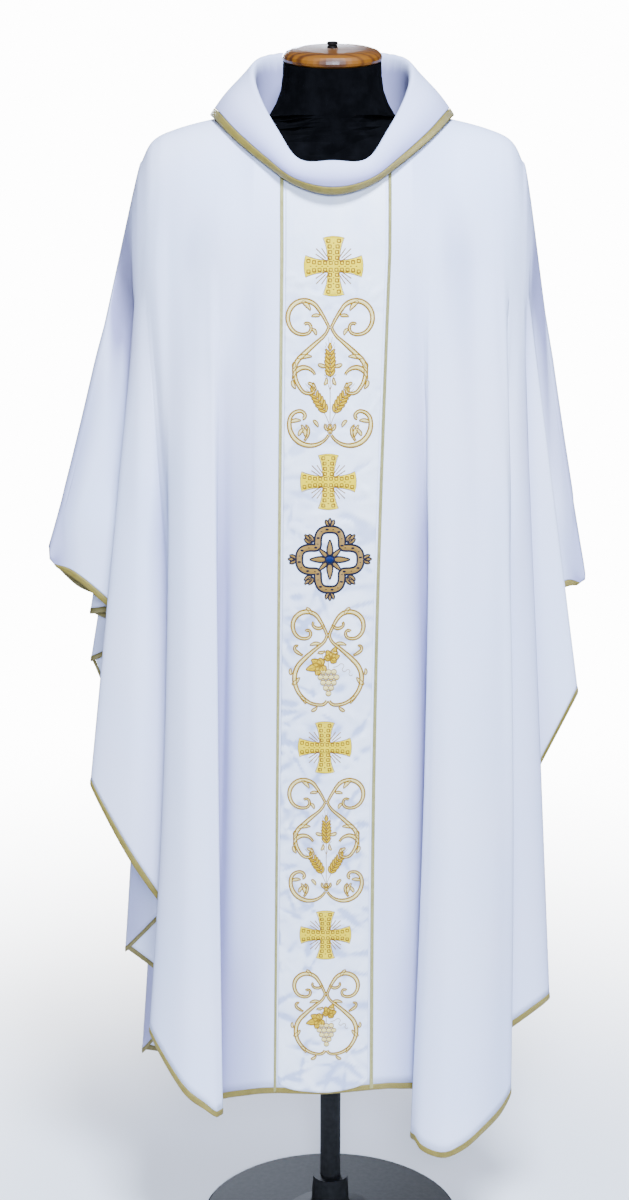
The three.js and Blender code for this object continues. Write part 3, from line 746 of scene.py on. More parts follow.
def satin_material():
    """White satin with fine threads, a soft, uneven tone, and painted shade in its wrinkles."""
    mat, tree, bsdf = material("orphrey_satin", (0.78, 0.82, 0.96), 0.4)
    drift = texture(tree, "Noise", stretch=(1, 1, 0.6), scale=26.0, detail=4.0, roughness=0.6)
    tones = [(0.34, (0.76, 0.81, 0.95)), (0.58, (0.87, 0.9, 0.985))]
    # painted shade: the satin darkens towards grey-blue where its shade value is high
    shaded(tree, bsdf, ramp(tree, drift, tones), (0.5, 0.55, 0.7))
    thread = texture(tree, "Wave", "UV", scale=600.0, distortion=0.6)
    low = bump(tree, bsdf, thread, 0.00008, 0.4)
    bump(tree, bsdf, drift, 0.003, 0.6, low)
    return mat


def jersey_material():
    """Black knit with faint lint, nearly without gloss."""
    mat, tree, bsdf = material("form_jersey", (0.0015, 0.0015, 0.002), 0.95, gloss=0.03)
    lint = texture(tree, "Noise", scale=60.0, detail=4.0)
    tinted(tree, bsdf, lint, [(0.4, (0.0008, 0.0008, 0.001)), (0.75, (0.0025, 0.0025, 0.003))])
    bump(tree, bsdf, texture(tree, "Wave", scale=330.0, distortion=2.0, detail=2.0), 0.0003, 0.6)
    return mat


def wood_material():
    """Amber lacquered wood with long grain under a gloss coat."""
    mat, tree, bsdf = material("cap_lacquer", (0.3, 0.09, 0.01), 0.4, coat=0.5)
    warp = texture(tree, "Noise", stretch=(1, 3.5, 1), scale=9.0, detail=3.0)
    rings = texture(
        tree, "Wave", stretch=(0.35, 1, 0.6), scale=26.0, distortion=5.0, detail=3.0,
        bands_direction="Y",
    )
    grain = add(tree, "Math", operation="MULTIPLY_ADD")  # 0.6 of the rings, and the warp
    grain.inputs[1].default_value = 0.6
    tree.links.new(rings, grain.inputs[0])
    tree.links.new(warp, grain.inputs[2])
    tones = [
        (0.35, (0.012, 0.0025, 0.0003)), (0.62, (0.065, 0.018, 0.0008)), (0.9, (0.15, 0.05, 0.002)),
    ]
    tinted(tree, bsdf, grain.outputs[0], tones)
    bump(tree, bsdf, warp, 0.0006, 0.3)
    return mat


def metal_material(name, colour, roughness, metallic, gloss=0.5):
    """Metal or paint with a fine scuffed tone."""
    mat, tree, bsdf = material(name, colour, roughness, metallic, gloss=gloss)
    scuff = texture(tree, "Noise", scale=150.0, detail=4.0)
    tinted(tree, bsdf, scuff, [(0.35, tuple(0.6 * c for c in colour)), (0.7, colour)])
    bump(tree, bsdf, scuff, 0.0002, 0.4)
    return mat


CREPE = crepe_material()
SATIN = satin_material()
HEM_GOLD = galloon_material("hem_galloon", (0.33, 0.255, 0.045), (0.17, 0.12, 0.015))
BACK_GOLD = galloon_material("back_galloon", (0.26, 0.21, 0.06), (0.12, 0.09, 0.02))
BRAID_GOLD = galloon_material("braid_cord", (0.52, 0.47, 0.18), (0.3, 0.26, 0.08), 700.0)
JERSEY = jersey_material()
LACQUER = wood_material()
KNOB_METAL = metal_material("knob_steel", (0.05, 0.045, 0.04), 0.3, 0.9)
STAND_PAINT = metal_material("stand_enamel", (0.012, 0.012, 0.012), 0.62, 0.0, 0.12)

# ---- panels and their bindings ----
front = panel_surface("front")
back = panel_surface("back")


def make_panel(name, panel):
    rows = slice(0, PANEL_END + 1)
    piece = shell(
        name, panel["points"][:, rows], panel["normals"][:, rows], panel["outward"], CREPE, CLOTH,
        shade=fold_shade(panel)[:, rows],
    )
    return piece


def make_hem_trim(name, panel, mat):
    """Folded gold ribbon round the hem, a little thicker than the cloth that it holds."""
    rows = slice(HEM_TOP, HEM_END + 1)
    points = panel["points"][:, rows]
    normals = panel["normals"][:, rows]
    piece = shell(name, points, normals, panel["outward"], mat, BINDING, round_end=True)
    return piece


front_cloth = make_panel("front_cloth", front)
back_cloth = make_panel("back_cloth", back)
front_hem = make_hem_trim("front_hem_galloon", front, HEM_GOLD)
back_hem = make_hem_trim("back_hem_galloon", back, BACK_GOLD)
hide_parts("front_panel")
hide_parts("back_panel")
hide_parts("hem_trim_front")
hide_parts("hem_trim_back")


# ---- collar ----
def collar_controls(angle):
    a = math.radians(angle)
    away = np.array([math.sin(a), -math.cos(a), 0])
    depth = NECK_DEPTH["front" if math.cos(a) > 0 else "back"]
    x = NECK_SIDE * math.sin(a)
    y = -depth * math.cos(a)
    slope_x = roll_height(x + 0.5, y) - roll_height(x - 0.5, y)
    slope_y = roll_height(x, y + 0.5) - roll_height(x, y - 0.5)
    normal = unit(np.array([-slope_x, -slope_y, 1]))
    plan = unit(np.array([x / NECK_SIDE**2, y / depth**2, 0]))
    into = unit(np.array([plan[0], plan[1], slope_x * plan[0] + slope_y * plan[1]]))
    foot = np.array([x, y, roll_height(x, y)]) + into * COLLAR_FOOT[0] + normal * COLLAR_FOOT[1]
    turn = 360 - angle if angle > 180 else angle
    at = {key: between(COLLAR, key, "angle", turn) for key in ("roll", "rollZ", "edge", "edgeZ")}

    def ring(r, z):
        return away * r + np.array([0, 0, z])

    stand = foot + normal * COLLAR_STAND
    inside = ring(at["roll"] - 5.5, at["rollZ"] - 9)
    middle_r = (at["roll"] + 6 + at["edge"]) / 2 + 5 + 9 * max(math.cos(a), 0) ** 2
    middle_z = (at["rollZ"] - 5 + at["edgeZ"]) / 2 + 3
    return np.array([
        foot, stand, (stand + inside) / 2, inside,
        ring(at["roll"] - 1, at["rollZ"] + 4), ring(at["roll"] + 6, at["rollZ"] - 5),
        ring(middle_r, middle_z), ring(at["edge"], at["edgeZ"]),
    ])


def collar_surface():
    """Columns round the neck, each a clamped cubic B-spline from the neckline over the roll."""
    angles = np.arange(COLLAR_COLUMNS) * 360 / COLLAR_COLUMNS
    controls = np.array([collar_controls(angle) for angle in angles])
    blur = np.array([0.25, 0.5, 0.25])
    for _ in range(6):
        controls = sum(w * np.roll(controls, k, axis=0) for w, k in zip(blur, (-1, 0, 1)))
    padded = np.concatenate([controls[:, :1]] * 2 + [controls] + [controls[:, -1:]] * 2, axis=1)
    spans = padded.shape[1] - 3
    t = np.linspace(0, spans, 361)
    i = np.minimum(t.astype(int), spans - 1)
    f = t - i
    weights = [
        (1 - f) ** 3 / 6, (3 * f**3 - 6 * f * f + 4) / 6,
        (-3 * f**3 + 3 * f * f + 3 * f + 1) / 6, f**3 / 6,
    ]
    fine = sum(padded[:, i + k] * w[None, :, None] for k, w in enumerate(weights))
    cloth_rows = []
    trim_rows = []
    for column in fine:
        run = run_of(column)
        end = run[-1] - COLLAR_BINDING
        cloth_rows.append(resample(column, run, np.linspace(0, end - COLLAR_GAP, COLLAR_ROWS)))
        trim_rows.append(resample(column, run, np.linspace(end, run[-1], BINDING_ROWS + 1)))
    both = np.concatenate([np.array(cloth_rows), np.array(trim_rows)], axis=1)
    return both, grid_normals(both, 1, closed=True)


def collar_shade(points):
    """Painted shade: deeper inside the roll, and towards the lower edge, most at the front where
    the edge turns down from the light.
    """
    rows = np.arange(points.shape[1])[None, :]
    peak = points[..., 2].argmax(axis=1)[:, None]
    inside = COLLAR_SHADE["inside"] * ease((peak - 1 - rows) / 7)
    turns = np.arange(len(points)) / len(points) * 2 * math.pi
    ahead = np.clip(np.cos(turns), 0, 1)[:, None]
    below = ease((rows - peak - 6) / (points.shape[1] - peak - 6))
    edge = (COLLAR_SHADE["edge"] + COLLAR_SHADE["front_edge"] * ahead) * below
    return np.clip(COLLAR_SHADE["level"] + inside + edge, 0, 1)


collar_points, collar_normals = collar_surface()
collar_cloth = shell(
    "collar_cloth", collar_points[:, :COLLAR_ROWS], collar_normals[:, :COLLAR_ROWS], 1, CREPE,
    CLOTH, closed=True, shade=collar_shade(collar_points)[:, :COLLAR_ROWS],
)
bound_points = collar_points[:, COLLAR_ROWS:]
bound_normals = collar_normals[:, COLLAR_ROWS:]
collar_edge = shell(
    "collar_galloon", bound_points, bound_normals, 1, HEM_GOLD, BINDING, closed=True, round_end=True
)
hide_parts("collar")
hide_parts("collar_trim")


# ---- satin band ----
BAND_COLUMNS = 66
BAND_ROWS = 360
BAND_FOOT = 3  # how far above the hem the band ends
BAND_OFFSET = WALL_HALF + GAP + 0.5
SATIN_HALF = 0.4  # half of the satin's thickness
PUCKERS = 620
PUCKER_X = (-72, 58)
PUCKER_Z = (265, 1330)
UNDER_COLLAR = ARC_ROWS // 4  # first row of what lies on the front panel


def strip_on_front(starts, count, short):
    """Even rows of a strip that lies on the front panel, each column ending short of the hem."""
    points, normals = at_starts(front, starts)
    placed = []
    facing = []
    for column, normal, gap in zip(points[:, UNDER_COLLAR:], normals[:, UNDER_COLLAR:], short):
        run = run_of(column)
        lengths = np.linspace(0, run[-1] - gap, count)
        placed.append(resample(column, run, lengths))
        facing.append(resample(normal, run, lengths))
    return np.array(placed), unit(np.array(facing))


def band_surface():
    """Satin band's middle surface, from under the collar to its rounded lower end."""
    left, right = BAND["left"], BAND["right"]
    starts = np.linspace(left, right, BAND_COLUMNS)
    q = np.abs(starts - (left + right) / 2) / ((right - left) / 2)
    rise = BAND_FOOT + BAND["round"] * (1 - np.sqrt(np.clip(1 - q * q, 0, 1)))
    return strip_on_front(starts, BAND_ROWS, rise)


def puckers(points):
    """Small wrinkles that the embroidery pulls into the satin, each a short soft ridge."""
    chance = random.Random(SEED)
    height = np.zeros(points.shape[:2])
    x = points[..., 0]
    z = points[..., 2]
    for _ in range(PUCKERS):
        cx = chance.uniform(*PUCKER_X)
        cz = chance.uniform(*PUCKER_Z)
        length = chance.uniform(7, 22)
        width = chance.uniform(1.8, 4.2)
        tilt = math.radians(chance.gauss(0, 38))
        size = chance.uniform(-0.8, 0.95)
        along_it = (x - cx) * math.cos(tilt) + (z - cz) * math.sin(tilt)
        across_it = -(x - cx) * math.sin(tilt) + (z - cz) * math.cos(tilt)
        height += size * np.exp(-((along_it / length) ** 2) - (across_it / width) ** 2)
    return np.clip(height, -0.45, 1.9)


band_points, band_normals = band_surface()
wrinkles = puckers(band_points)
band_points = band_points + band_normals * (BAND_OFFSET + wrinkles)[..., None]
band_normals = grid_normals(band_points, -1)
# Painted shade in the wrinkles' hollows, growing stronger down the band.
shade_down_band = 0.35 + 0.65 * lower(band_points[..., 2], 1280, 420)
band_shade = np.clip(0.08 - 2.6 * wrinkles, 0, 0.95) * shade_down_band
orphrey = shell(
    "orphrey_satin", band_points, band_normals, -1, SATIN, 2 * SATIN_HALF, shade=band_shade
)
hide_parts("orphrey")


# ---- braids: two twisted cords side by side ----
BRAID_ROWS_PER_MM = 0.9
BRAID_SPREAD = 0.8  # how far the cords reach past their solid, on each side
BRAID_FOOT = 3.2  # how far above the hem they end
BRAID_OFFSET = 0.95 + GAP + 0.6
BRAID_TWIST = 3.6  # length of one turn of a cord
BRAID_WALL = 0.7
CORD_HEIGHT = 0.75
CORD_RIDGE = 0.14


def make_braid(name, low, high, node):
    starts = np.linspace(low - BRAID_SPREAD, high + BRAID_SPREAD, 9)
    edge = at_starts(front, starts)[0][0, UNDER_COLLAR:]
    count = int(run_of(edge)[-1] * BRAID_ROWS_PER_MM)
    points, normals = strip_on_front(starts, count, [BRAID_FOOT] * len(starts))
    across = np.linspace(-1, 1, len(starts))
    cord = np.sqrt(np.clip(1 - (2 * np.abs(np.abs(across) - 0.5)) ** 2, 0, 1))
    turns = np.arange(count)[None, :] / BRAID_ROWS_PER_MM / BRAID_TWIST
    twist = np.cos(2 * math.pi * (turns + np.sign(across)[:, None] * across[:, None]))
    height = cord[:, None] * (CORD_HEIGHT + CORD_RIDGE * twist)
    points = points + normals * (BRAID_OFFSET + height)[..., None]
    piece = shell(name, points, normals, -1, BRAID_GOLD, BRAID_WALL, offset=-BRAID_WALL / 2)
    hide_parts(node)
    return piece


braids = [
    make_braid(row["name"] + "_cords", row["low"], row["high"], row["name"]) for row in BRAIDS
]

# ---- where the stitches lie: depth of the satin's face over an x and z grid ----
FIELD_STEP = 1.5
FIELD_X = np.arange(-84, 90, FIELD_STEP)
FIELD_Z = np.arange(230, 1400, FIELD_STEP)


def band_field():
    face = band_points + band_normals * SATIN_HALF
    field = np.zeros((len(FIELD_Z), len(FIELD_X)))
    level_x = [np.interp(FIELD_Z, column[::-1, 2], column[::-1, 0]) for column in face]
    level_y = [np.interp(FIELD_Z, column[::-1, 2], column[::-1, 1]) for column in face]
    for k, (xs, ys) in enumerate(zip(np.array(level_x).T, np.array(level_y).T)):
        field[k] = np.interp(FIELD_X, xs, ys)
    return field


BAND_FIELD = band_field()


def on_band(x, z, lift):
    """Points at the given heights above the satin's face."""
    place_x = np.clip((x - FIELD_X[0]) / FIELD_STEP, 0, len(FIELD_X) - 1.001)
    place_z = np.clip((z - FIELD_Z[0]) / FIELD_STEP, 0, len(FIELD_Z) - 1.001)
    i = place_x.astype(int)
    k = place_z.astype(int)
    across = place_x - i
    down = place_z - k
    near = BAND_FIELD[k, i] * (1 - across) + BAND_FIELD[k, i + 1] * across
    far = BAND_FIELD[k + 1, i] * (1 - across) + BAND_FIELD[k + 1, i + 1] * across
    return np.stack([x, near * (1 - down) + far * down - lift, z], axis=-1)


# ---- embroidery ----
STITCH_STEP = 1.1  # mm between the points of a stroke
LEAF_STEP = 0.8
SUNK = 0.15  # how deep the stitches' sides lie in the satin
MIDDLE = (1,)  # hands of what is sewn once, not mirrored
THREADS = {
    # name: light colour, dark colour, roughness
    "scroll_fill": ((0.9, 0.75, 0.32), (0.74, 0.56, 0.16), 0.45),
    "scroll_edge": ((0.32, 0.165, 0.0), (0.19, 0.09, 0.0), 0.6),
    "leaf_fill": ((0.72, 0.46, 0.01), (0.5, 0.29, 0.0), 0.5),
    "cross_fill": ((0.92, 0.68, 0.0), (0.74, 0.5, 0.0), 0.45),
    "cross_checks": ((0.24, 0.1, 0.0), (0.14, 0.05, 0.0), 0.6),
    "ornament_fill": ((0.34, 0.19, 0.04), (0.2, 0.1, 0.015), 0.45),
    "ornament_edge": ((0.003, 0.0035, 0.02), (0.001, 0.0015, 0.01), 0.6),
    "ornament_jewel": ((0.002, 0.014, 0.1), (0.001, 0.006, 0.05), 0.4),
}
stitched = {name: {"verts": [], "faces": [], "uvs": [], "count": 0} for name in THREADS}


def stroke(x, y, heading, bends, step=STITCH_STEP):
    """Curved line from a point: bends are (length, turn in degrees), run one after the other."""
    points = [(x, y)]
    angle = math.radians(heading)
    for length, turn in bends:
        count = max(int(length / step), 2)
        for _ in range(count):
            angle += math.radians(turn) / count
            x += math.cos(angle) * length / count
            y += math.sin(angle) * length / count
            points.append((x, y))
    return np.array(points)


def pointing(heading):
    """Unit vector at a heading in degrees."""
    a = math.radians(heading)
    return np.array([math.cos(a), math.sin(a)])


def sideways(line):
    """Unit vectors across a flat line, to its left."""
    run = unit(np.gradient(line, axis=0))
    return np.stack([-run[:, 1], run[:, 0]], axis=-1)


def swell(count, start, middle, end, peak=0.4):
    """Half width along a stroke, from its start through its widest place to its end."""
    t = np.linspace(0, 1, count)
    rising = start + (middle - start) * ease(t / peak)
    falling = end + (middle - end) * ease((1 - t) / (1 - peak))
    return np.where(t < peak, rising, falling)


def petal(count, width, blunt=0.8):
    t = np.linspace(0, 1, count)
    return width * np.sin(math.pi * t**blunt) ** 0.8 + 0.05


class Motif:
    """A place on the band where strokes are sewn: centre, size, and left or right hand."""

    def __init__(self, x, z, size=1.0):
        self.x = x
        self.z = z
        self.size = size

    def sew(self, thread, line, half, height=0.7, base=0.0, sides=(-1, 1), across=5, flat=2.0):
        """Raised ribbon of thread along a line, of the given half widths, for each hand."""
        half = np.broadcast_to(np.asarray(half, float), len(line))
        s = np.linspace(-1, 1, across)
        spread = (half[:, None] * s[None, :])[..., None]
        ribbon = line[:, None, :] + sideways(line)[:, None, :] * spread
        lift = base - SUNK + (height + SUNK) * (1 - np.abs(s) ** flat)
        lift = np.broadcast_to(lift, ribbon.shape[:2])
        store = stitched[thread]
        for hand in sides:
            x = self.x + hand * ribbon[..., 0] * self.size
            z = self.z + ribbon[..., 1] * self.size
            store["verts"].append(on_band(x, z, lift).reshape(-1, 3))
            faces = grid_faces(len(line), across, store["count"], flip=hand > 0)
            store["faces"].append(faces)
            uv = np.stack(np.meshgrid(run_of(line), s * half.mean(), indexing="ij"), axis=-1)
            store["uvs"].append(uv.reshape(-1, 2) * MM)
            store["count"] += len(line) * across

    def outlined(self, line, half, fill="scroll_fill", edge="scroll_edge", rim=1.15, **more):
        """Satin stitch between two rows of darker stem stitch."""
        self.sew(fill, line, half, **more)
        sides = more.get("sides", (-1, 1))
        for hand in (-1, 1):
            rim_line = line + sideways(line) * (hand * half)[:, None]
            self.sew(edge, rim_line, rim, height=1.0, sides=sides, across=4)

    def line(self, thread, line, half=0.5, **more):
        self.sew(thread, line, half, height=0.6, across=4, **more)

    def leaf(self, x, y, heading, length, width, bend=25, fill="scroll_fill", **more):
        line = stroke(x, y, heading, [(length, bend)], LEAF_STEP)
        self.outlined(line, petal(len(line), width), fill=fill, rim=0.85, **more)


# Strokes of one half: where each starts, its heading, its half widths and its bends.
WHEAT_STROKES = table("x y heading wide bends", [
    (1.6, 53, 66, (1.0, 2.3, 1.0),
     [(27, -12), (31, -95), (31, -86), (20, -70), (13, -105), (7, -100)]),
    (1.6, 53, -74, (1.0, 2.2, 1.2),
     [(17, 34), (33, -4), (20, -52), (22, -34), (14, -78), (7, -110)]),
    (43, -8, 84, (0.8, 2.4, 0.8), [(14, 60), (12, 55), (11, 45)]),
    (1.4, -73, -62, (0.9, 2.4, 1.3), [(20, 46), (26, 60), (27, 62), (15, 70), (9, 80), (5, 90)]),
    (30, -80, 128, (0.6, 1.5, 0.6), [(13, -30), (8, -70)]),
    (5, -60, -52, (0.5, 1.2, 0.6), [(7, -80), (5, -90)]),
])
WHEAT_LEAVES = table("x y heading length width bend", [
    (33, 83, 206, 15, 2.2, 40),
    (12, 66, 22, 10, 1.6, -50),
    (21, 51, 205, 9, 1.7, 60),
    (38, 17, 158, 17, 2.4, 30),
    (42, 5, 66, 8, 1.8, 60),
    (44, -9, 280, 11, 1.8, -60),
    (14, 10, 214, 11, 2.0, -40),
    (20, -19, 120, 8, 1.6, -60),
    (46, -58, 150, 12, 2.0, 40),
    (0.5, -72, 74, 12, 1.9, 60),
    (26, -12, 192, 13, 1.8, 50),
    (7, -14, 150, 9, 1.5, -80),
    (28, -76, 84, 16, 2.2, -30),
    (20, -56, 206, 10, 1.7, 50),
    (37, -74, 108, 12, 1.8, 40),
])
GRAPE_STROKES = table("x y heading wide bends", [
    (1.4, 27, 72, (1.0, 2.2, 1.0),
     [(24, -16), (27, -95), (26, -84), (17, -78), (10, -105), (5, -100)]),
    (1.4, 27, -84, (1.0, 2.2, 1.2),
     [(14, 46), (32, -8), (27, -52), (26, -44), (20, -40), (9, -66)]),
    (5, 40, -80, (0.6, 1.4, 0.7), [(8, 70), (8, 60), (5, 80)]),
    (30, 2, 20, (0.6, 1.4, 0.8), [(10, 20), (6, 70), (4, 100)]),
])
GRAPE_LEAVES = table("x y heading length width bend", [
    (26, 60, 210, 11, 1.7, 40),
    (9, 16, 20, 13, 1.8, -50),
    (43, -34, 150, 13, 2.0, -30),
    (44, -22, 60, 8, 1.5, 50),
    (20, -66, 170, 9, 1.6, -50),
    (34, -48, 206, 12, 1.8, 50),
    (12, 6, 200, 9, 1.5, -60),
])


def sew_ear(motif, x, y, heading, pairs, sides):
    """Ear of wheat: paired grains up a stem, with long thin awns."""
    way = pointing(heading)
    for k in range(pairs):
        px, py = np.array([x, y]) + way * (k * 5.0)
        size = 1 - 0.4 * abs(k / pairs - 0.3)
        grain = {"fill": "leaf_fill", "sides": sides}
        for lean in (-46, 46):
            root = (px + way[0] * 4, py + way[1] * 4)
            awn = stroke(*root, heading + lean * 0.8, [(15 * size, -lean * 0.4)])
            motif.line("scroll_edge", awn, 0.3, sides=sides)
            motif.leaf(px, py, heading + lean, 11 * size, 1.7 * size, -lean * 0.35, **grain)
    tip = np.array([x, y]) + way * (pairs * 5.0)
    motif.leaf(*tip, heading, 9, 1.8, 0, fill="leaf_fill", sides=sides)
    for lean in (-9, 9):
        motif.line("scroll_edge", stroke(*tip, heading + lean, [(16, 0)]), 0.3, sides=sides)


def sew_scrolls(motif, strokes, leaves):
    for row in strokes:
        line = stroke(row["x"], row["y"], row["heading"], row["bends"])
        motif.outlined(line, swell(len(line), *row["wide"]))
    for row in leaves:
        motif.leaf(row["x"], row["y"], row["heading"], row["length"], row["width"], row["bend"])


def sew_wheat_panel(motif):
    sew_scrolls(motif, WHEAT_STROKES, WHEAT_LEAVES)
    sew_ear(motif, 0, -4, 90, 6, MIDDLE)
    sew_ear(motif, 5, -46, 58, 5, (-1, 1))
    motif.line("scroll_edge", stroke(0, -62, 90, [(58, 0)]), 0.5, sides=MIDDLE)
    motif.line("scroll_edge", stroke(0.5, -62, 74, [(17, -14)]), 0.45)
    motif.line("scroll_edge", stroke(0, -20, 60, [(12, 30), (8, -60)]), 0.4)


def sew_ring(motif, x, y, radius, half, thread="scroll_edge", **more):
    count = max(int(2 * math.pi * radius / 0.9), 12)
    turns = np.linspace(0, 2 * math.pi, count + 1)
    line = np.stack([x + radius * np.cos(turns), y + radius * np.sin(turns)], axis=-1)
    motif.sew(thread, line, half, across=4, sides=MIDDLE, **more)


def sew_disc(motif, x, y, radius, thread, height=0.9):
    t = np.linspace(-1, 1, 11)
    line = np.stack([x + radius * t, np.full_like(t, y)], axis=-1)
    half = radius * np.sqrt(np.clip(1 - t * t, 0.004, 1))
    motif.sew(thread, line, half, height=height, sides=MIDDLE, across=7)


def sew_vine_leaf(motif, x, y, heading, size):
    """Lobed leaf: a long middle lobe between two pairs of shorter ones, and a vein down each."""
    lobe = {"fill": "leaf_fill", "sides": MIDDLE}
    for lean, share in ((0, 1.0), (46, 0.72), (-46, 0.72), (96, 0.5), (-96, 0.5)):
        motif.leaf(x, y, heading + lean, size * share, 0.24 * size, 0, **lobe)
        vein = stroke(x, y, heading + lean, [(size * share * 0.8, 0)])
        motif.line("scroll_edge", vein, 0.25, sides=MIDDLE, base=0.5)


def sew_grape_panel(motif):
    sew_scrolls(motif, GRAPE_STROKES, GRAPE_LEAVES)
    for row, count in enumerate((3, 4, 3, 2, 1)):
        for k in range(count):
            x = (k - (count - 1) / 2) * 6.4 + 0.5
            y = -18 - row * 6.6
            sew_disc(motif, x, y, 3.1, "scroll_fill")
            sew_ring(motif, x, y, 3.1, 0.6)
    motif.line("scroll_edge", stroke(0, -14, 84, [(16, 20), (8, 40)]), 0.6, sides=MIDDLE)
    sew_vine_leaf(motif, -8, -10, 196, 19)
    sew_vine_leaf(motif, 3, -2, 66, 16)
    tendril = stroke(6, -12, -10, [(9, 60), (10, -190), (9, 200), (8, -190), (7, 180)])
    motif.line("scroll_edge", tendril, 0.35, sides=MIDDLE)
    motif.line("scroll_edge", stroke(-3, -4, 150, [(9, -60), (9, 160)]), 0.35, sides=MIDDLE)


ORNAMENT = {"fill": "ornament_fill", "edge": "ornament_edge", "sides": MIDDLE}
CROSS = {
    "reach": 35, "neck": 7.4, "flare": 13.6,
    "check": 1.9, "pitch": 7.2, "first": 3.6, "spread": 4.3,
}


def sew_check(motif, x, y):
    """Small open square of brown stitches."""
    box = CROSS["check"]
    corners = [(-box, -box), (box, -box), (box, box), (-box, box), (-box, -box)]
    sides = [np.linspace(p, q, 3)[:-1] for p, q in zip(corners, corners[1:])]
    square = np.concatenate([*sides, [corners[0]]]) + np.array([x, y])
    motif.sew("cross_checks", square, 0.95, height=0.4, base=0.75, across=3, sides=MIDDLE)


def sew_cross(motif):
    """Flared yellow satin cross: two rows of small checks on each arm, rays between the arms."""
    t = np.linspace(0, 1, 34)
    half = CROSS["neck"] + (CROSS["flare"] - CROSS["neck"]) * t**2.6
    bow = np.linspace(-1, 1, 15)
    bulge = 2.2 * (1 - bow**2)
    for turn in (0, 90, 180, 270):
        way = pointing(turn)
        side = np.array([-way[1], way[0]])
        line = way[None, :] * (t * CROSS["reach"])[:, None]
        motif.sew("cross_fill", line, half, height=0.8, across=9, flat=6.0, sides=MIDDLE)
        for hand in (-1, 1):
            edge = line[5:] + side * (hand * half[5:])[:, None]
            motif.line("cross_checks", edge, 0.45, sides=MIDDLE)
            for k in range(0 if turn in (0, 180) else 1, 5):
                spread = CROSS["spread"] + 2.2 * max(k - 2.6, 0) / 1.4
                out = CROSS["first"] + k * CROSS["pitch"] * 0.97
                centre = way * out + side * (hand * spread)
                sew_check(motif, *centre)
        for k in range(1, 5):
            sew_disc(motif, *(way * k * CROSS["pitch"]), 1.2, "cross_checks", height=1.2)
        cap = line[-1] + side[None, :] * bow[:, None] * half[-1]
        middle = cap + way * bulge[:, None] / 2
        motif.sew("cross_fill", middle, 0.3 + bulge / 2, height=0.8, sides=MIDDLE)
        motif.line("cross_checks", cap + way * bulge[:, None], 0.45, sides=MIDDLE)
    for quarter in (45, 135, 225, 315):
        for lean, reach in ((-11, 27), (0, 31), (11, 27)):
            ray = np.linspace(14, reach, 12)[:, None] * pointing(quarter + lean)
            motif.line("scroll_edge", ray, 0.75, sides=MIDDLE)


def sew_gold_leaf(motif, x, y, heading, length, bend, width, rim=1.0, blunt=0.8):
    """Leaf of dull gold with a dark blue edge."""
    line = stroke(x, y, heading, [(length, bend)], LEAF_STEP)
    motif.outlined(line, petal(len(line), width, blunt), rim=rim, **ORNAMENT)


def sew_ornament(motif):
    """Four-lobed dotted gold band with dark blue edges, round an eight-leaved star."""
    turns = np.linspace(0, 2 * math.pi, 190)
    reach = 31 + 7.5 * np.cos(4 * turns) - 2.0 * np.cos(8 * turns)
    band = np.stack([reach * np.cos(turns), reach * np.sin(turns)], axis=-1)
    motif.outlined(band, np.full(len(band), 3.9), rim=1.35, **ORNAMENT)
    for k in range(32):
        x, y = band[int((k + 0.5) / 32 * 189)]
        sew_disc(motif, x, y, 1.1 if k % 2 else 2.1, "ornament_edge", height=1.0)
    for k in range(8):
        reach, width = (24, 3.4) if k % 2 == 0 else (19, 2.4)
        heading = k * 45
        sew_gold_leaf(motif, *(5 * pointing(heading)), heading, reach - 5, 0, width, 1.1, 0.6)
    sew_disc(motif, 0, 0, 4.6, "ornament_jewel", height=1.6)
    sew_ring(motif, 0, 0, 5.4, 1.4, "ornament_edge", height=1.5)
    for heading in (45, 135, 225, 315):
        way = pointing(heading)
        for lean, size in ((0, 13), (52, 11), (-52, 11)):
            foot = 27.5 * way + 2 * way
            sew_gold_leaf(motif, *foot, heading + lean, size, -lean * 1.2, 2.3)
    for heading in (0, 90, 180, 270):
        for lean in (-70, 0, 70):
            sew_gold_leaf(motif, *(41 * pointing(heading)), heading + lean, 9, -lean, 2.0)


MOTIFS = table("name kind x z size", [
    ("cross_first", sew_cross, 1, 1335, 0.96),
    ("wheat_upper", sew_wheat_panel, -3, 1207, 1.04),
    ("cross_second", sew_cross, -5, 1073, 0.93),
    ("rosette", sew_ornament, -3, 976, 1.04),
    ("vine_upper", sew_grape_panel, -5, 852, 1.05),
    ("cross_third", sew_cross, -9, 735, 0.91),
    ("wheat_lower", sew_wheat_panel, -7, 613, 0.95),
    ("cross_fourth", sew_cross, -8, 485, 0.89),
    ("vine_lower", sew_grape_panel, -7, 378, 0.98),
])


def thread_material(name, light, dark, roughness):
    """Satin-stitched thread: fine ridges across the stroke, slightly worn between them."""
    mat, tree, bsdf = material(name, light, roughness, sheen=0.05, gloss=0.25)
    ridges = texture(tree, "Wave", "UV", scale=560.0, distortion=0.8, detail=1.0)
    tinted(tree, bsdf, ridges, [(0.1, dark), (0.6, light)])
    bump(tree, bsdf, ridges, 0.0003, 0.6)
    return mat


def make_embroidery():
    """Every motif's stitches, joined into one piece, with a material for each thread."""
    mats = {name: thread_material("thread_" + name, *row) for name, row in THREADS.items()}
    for row in MOTIFS:
        for store in stitched.values():
            store.update(verts=[], faces=[], uvs=[], count=0)
        row["kind"](Motif(row["x"], row["z"], row["size"]))
        used = [name for name in THREADS if stitched[name]["count"]]
        verts = np.concatenate([np.concatenate(stitched[name]["verts"]) for name in used])
        uvs = np.concatenate([np.concatenate(stitched[name]["uvs"]) for name in used])
        base = 0
        faces = []
        marks = []
        for k, name in enumerate(used):
            own = np.concatenate(stitched[name]["faces"]) + base
            faces.append(own)
            marks.append(np.full(len(own), k))
            base += stitched[name]["count"]
        piece = new_piece(row["name"], verts, np.concatenate(faces), mats[used[0]], uvs)
        for name in used[1:]:
            piece.data.materials.append(mats[name])
        piece.data.polygons.foreach_set("material_index", np.concatenate(marks).astype(np.int32))


make_embroidery()


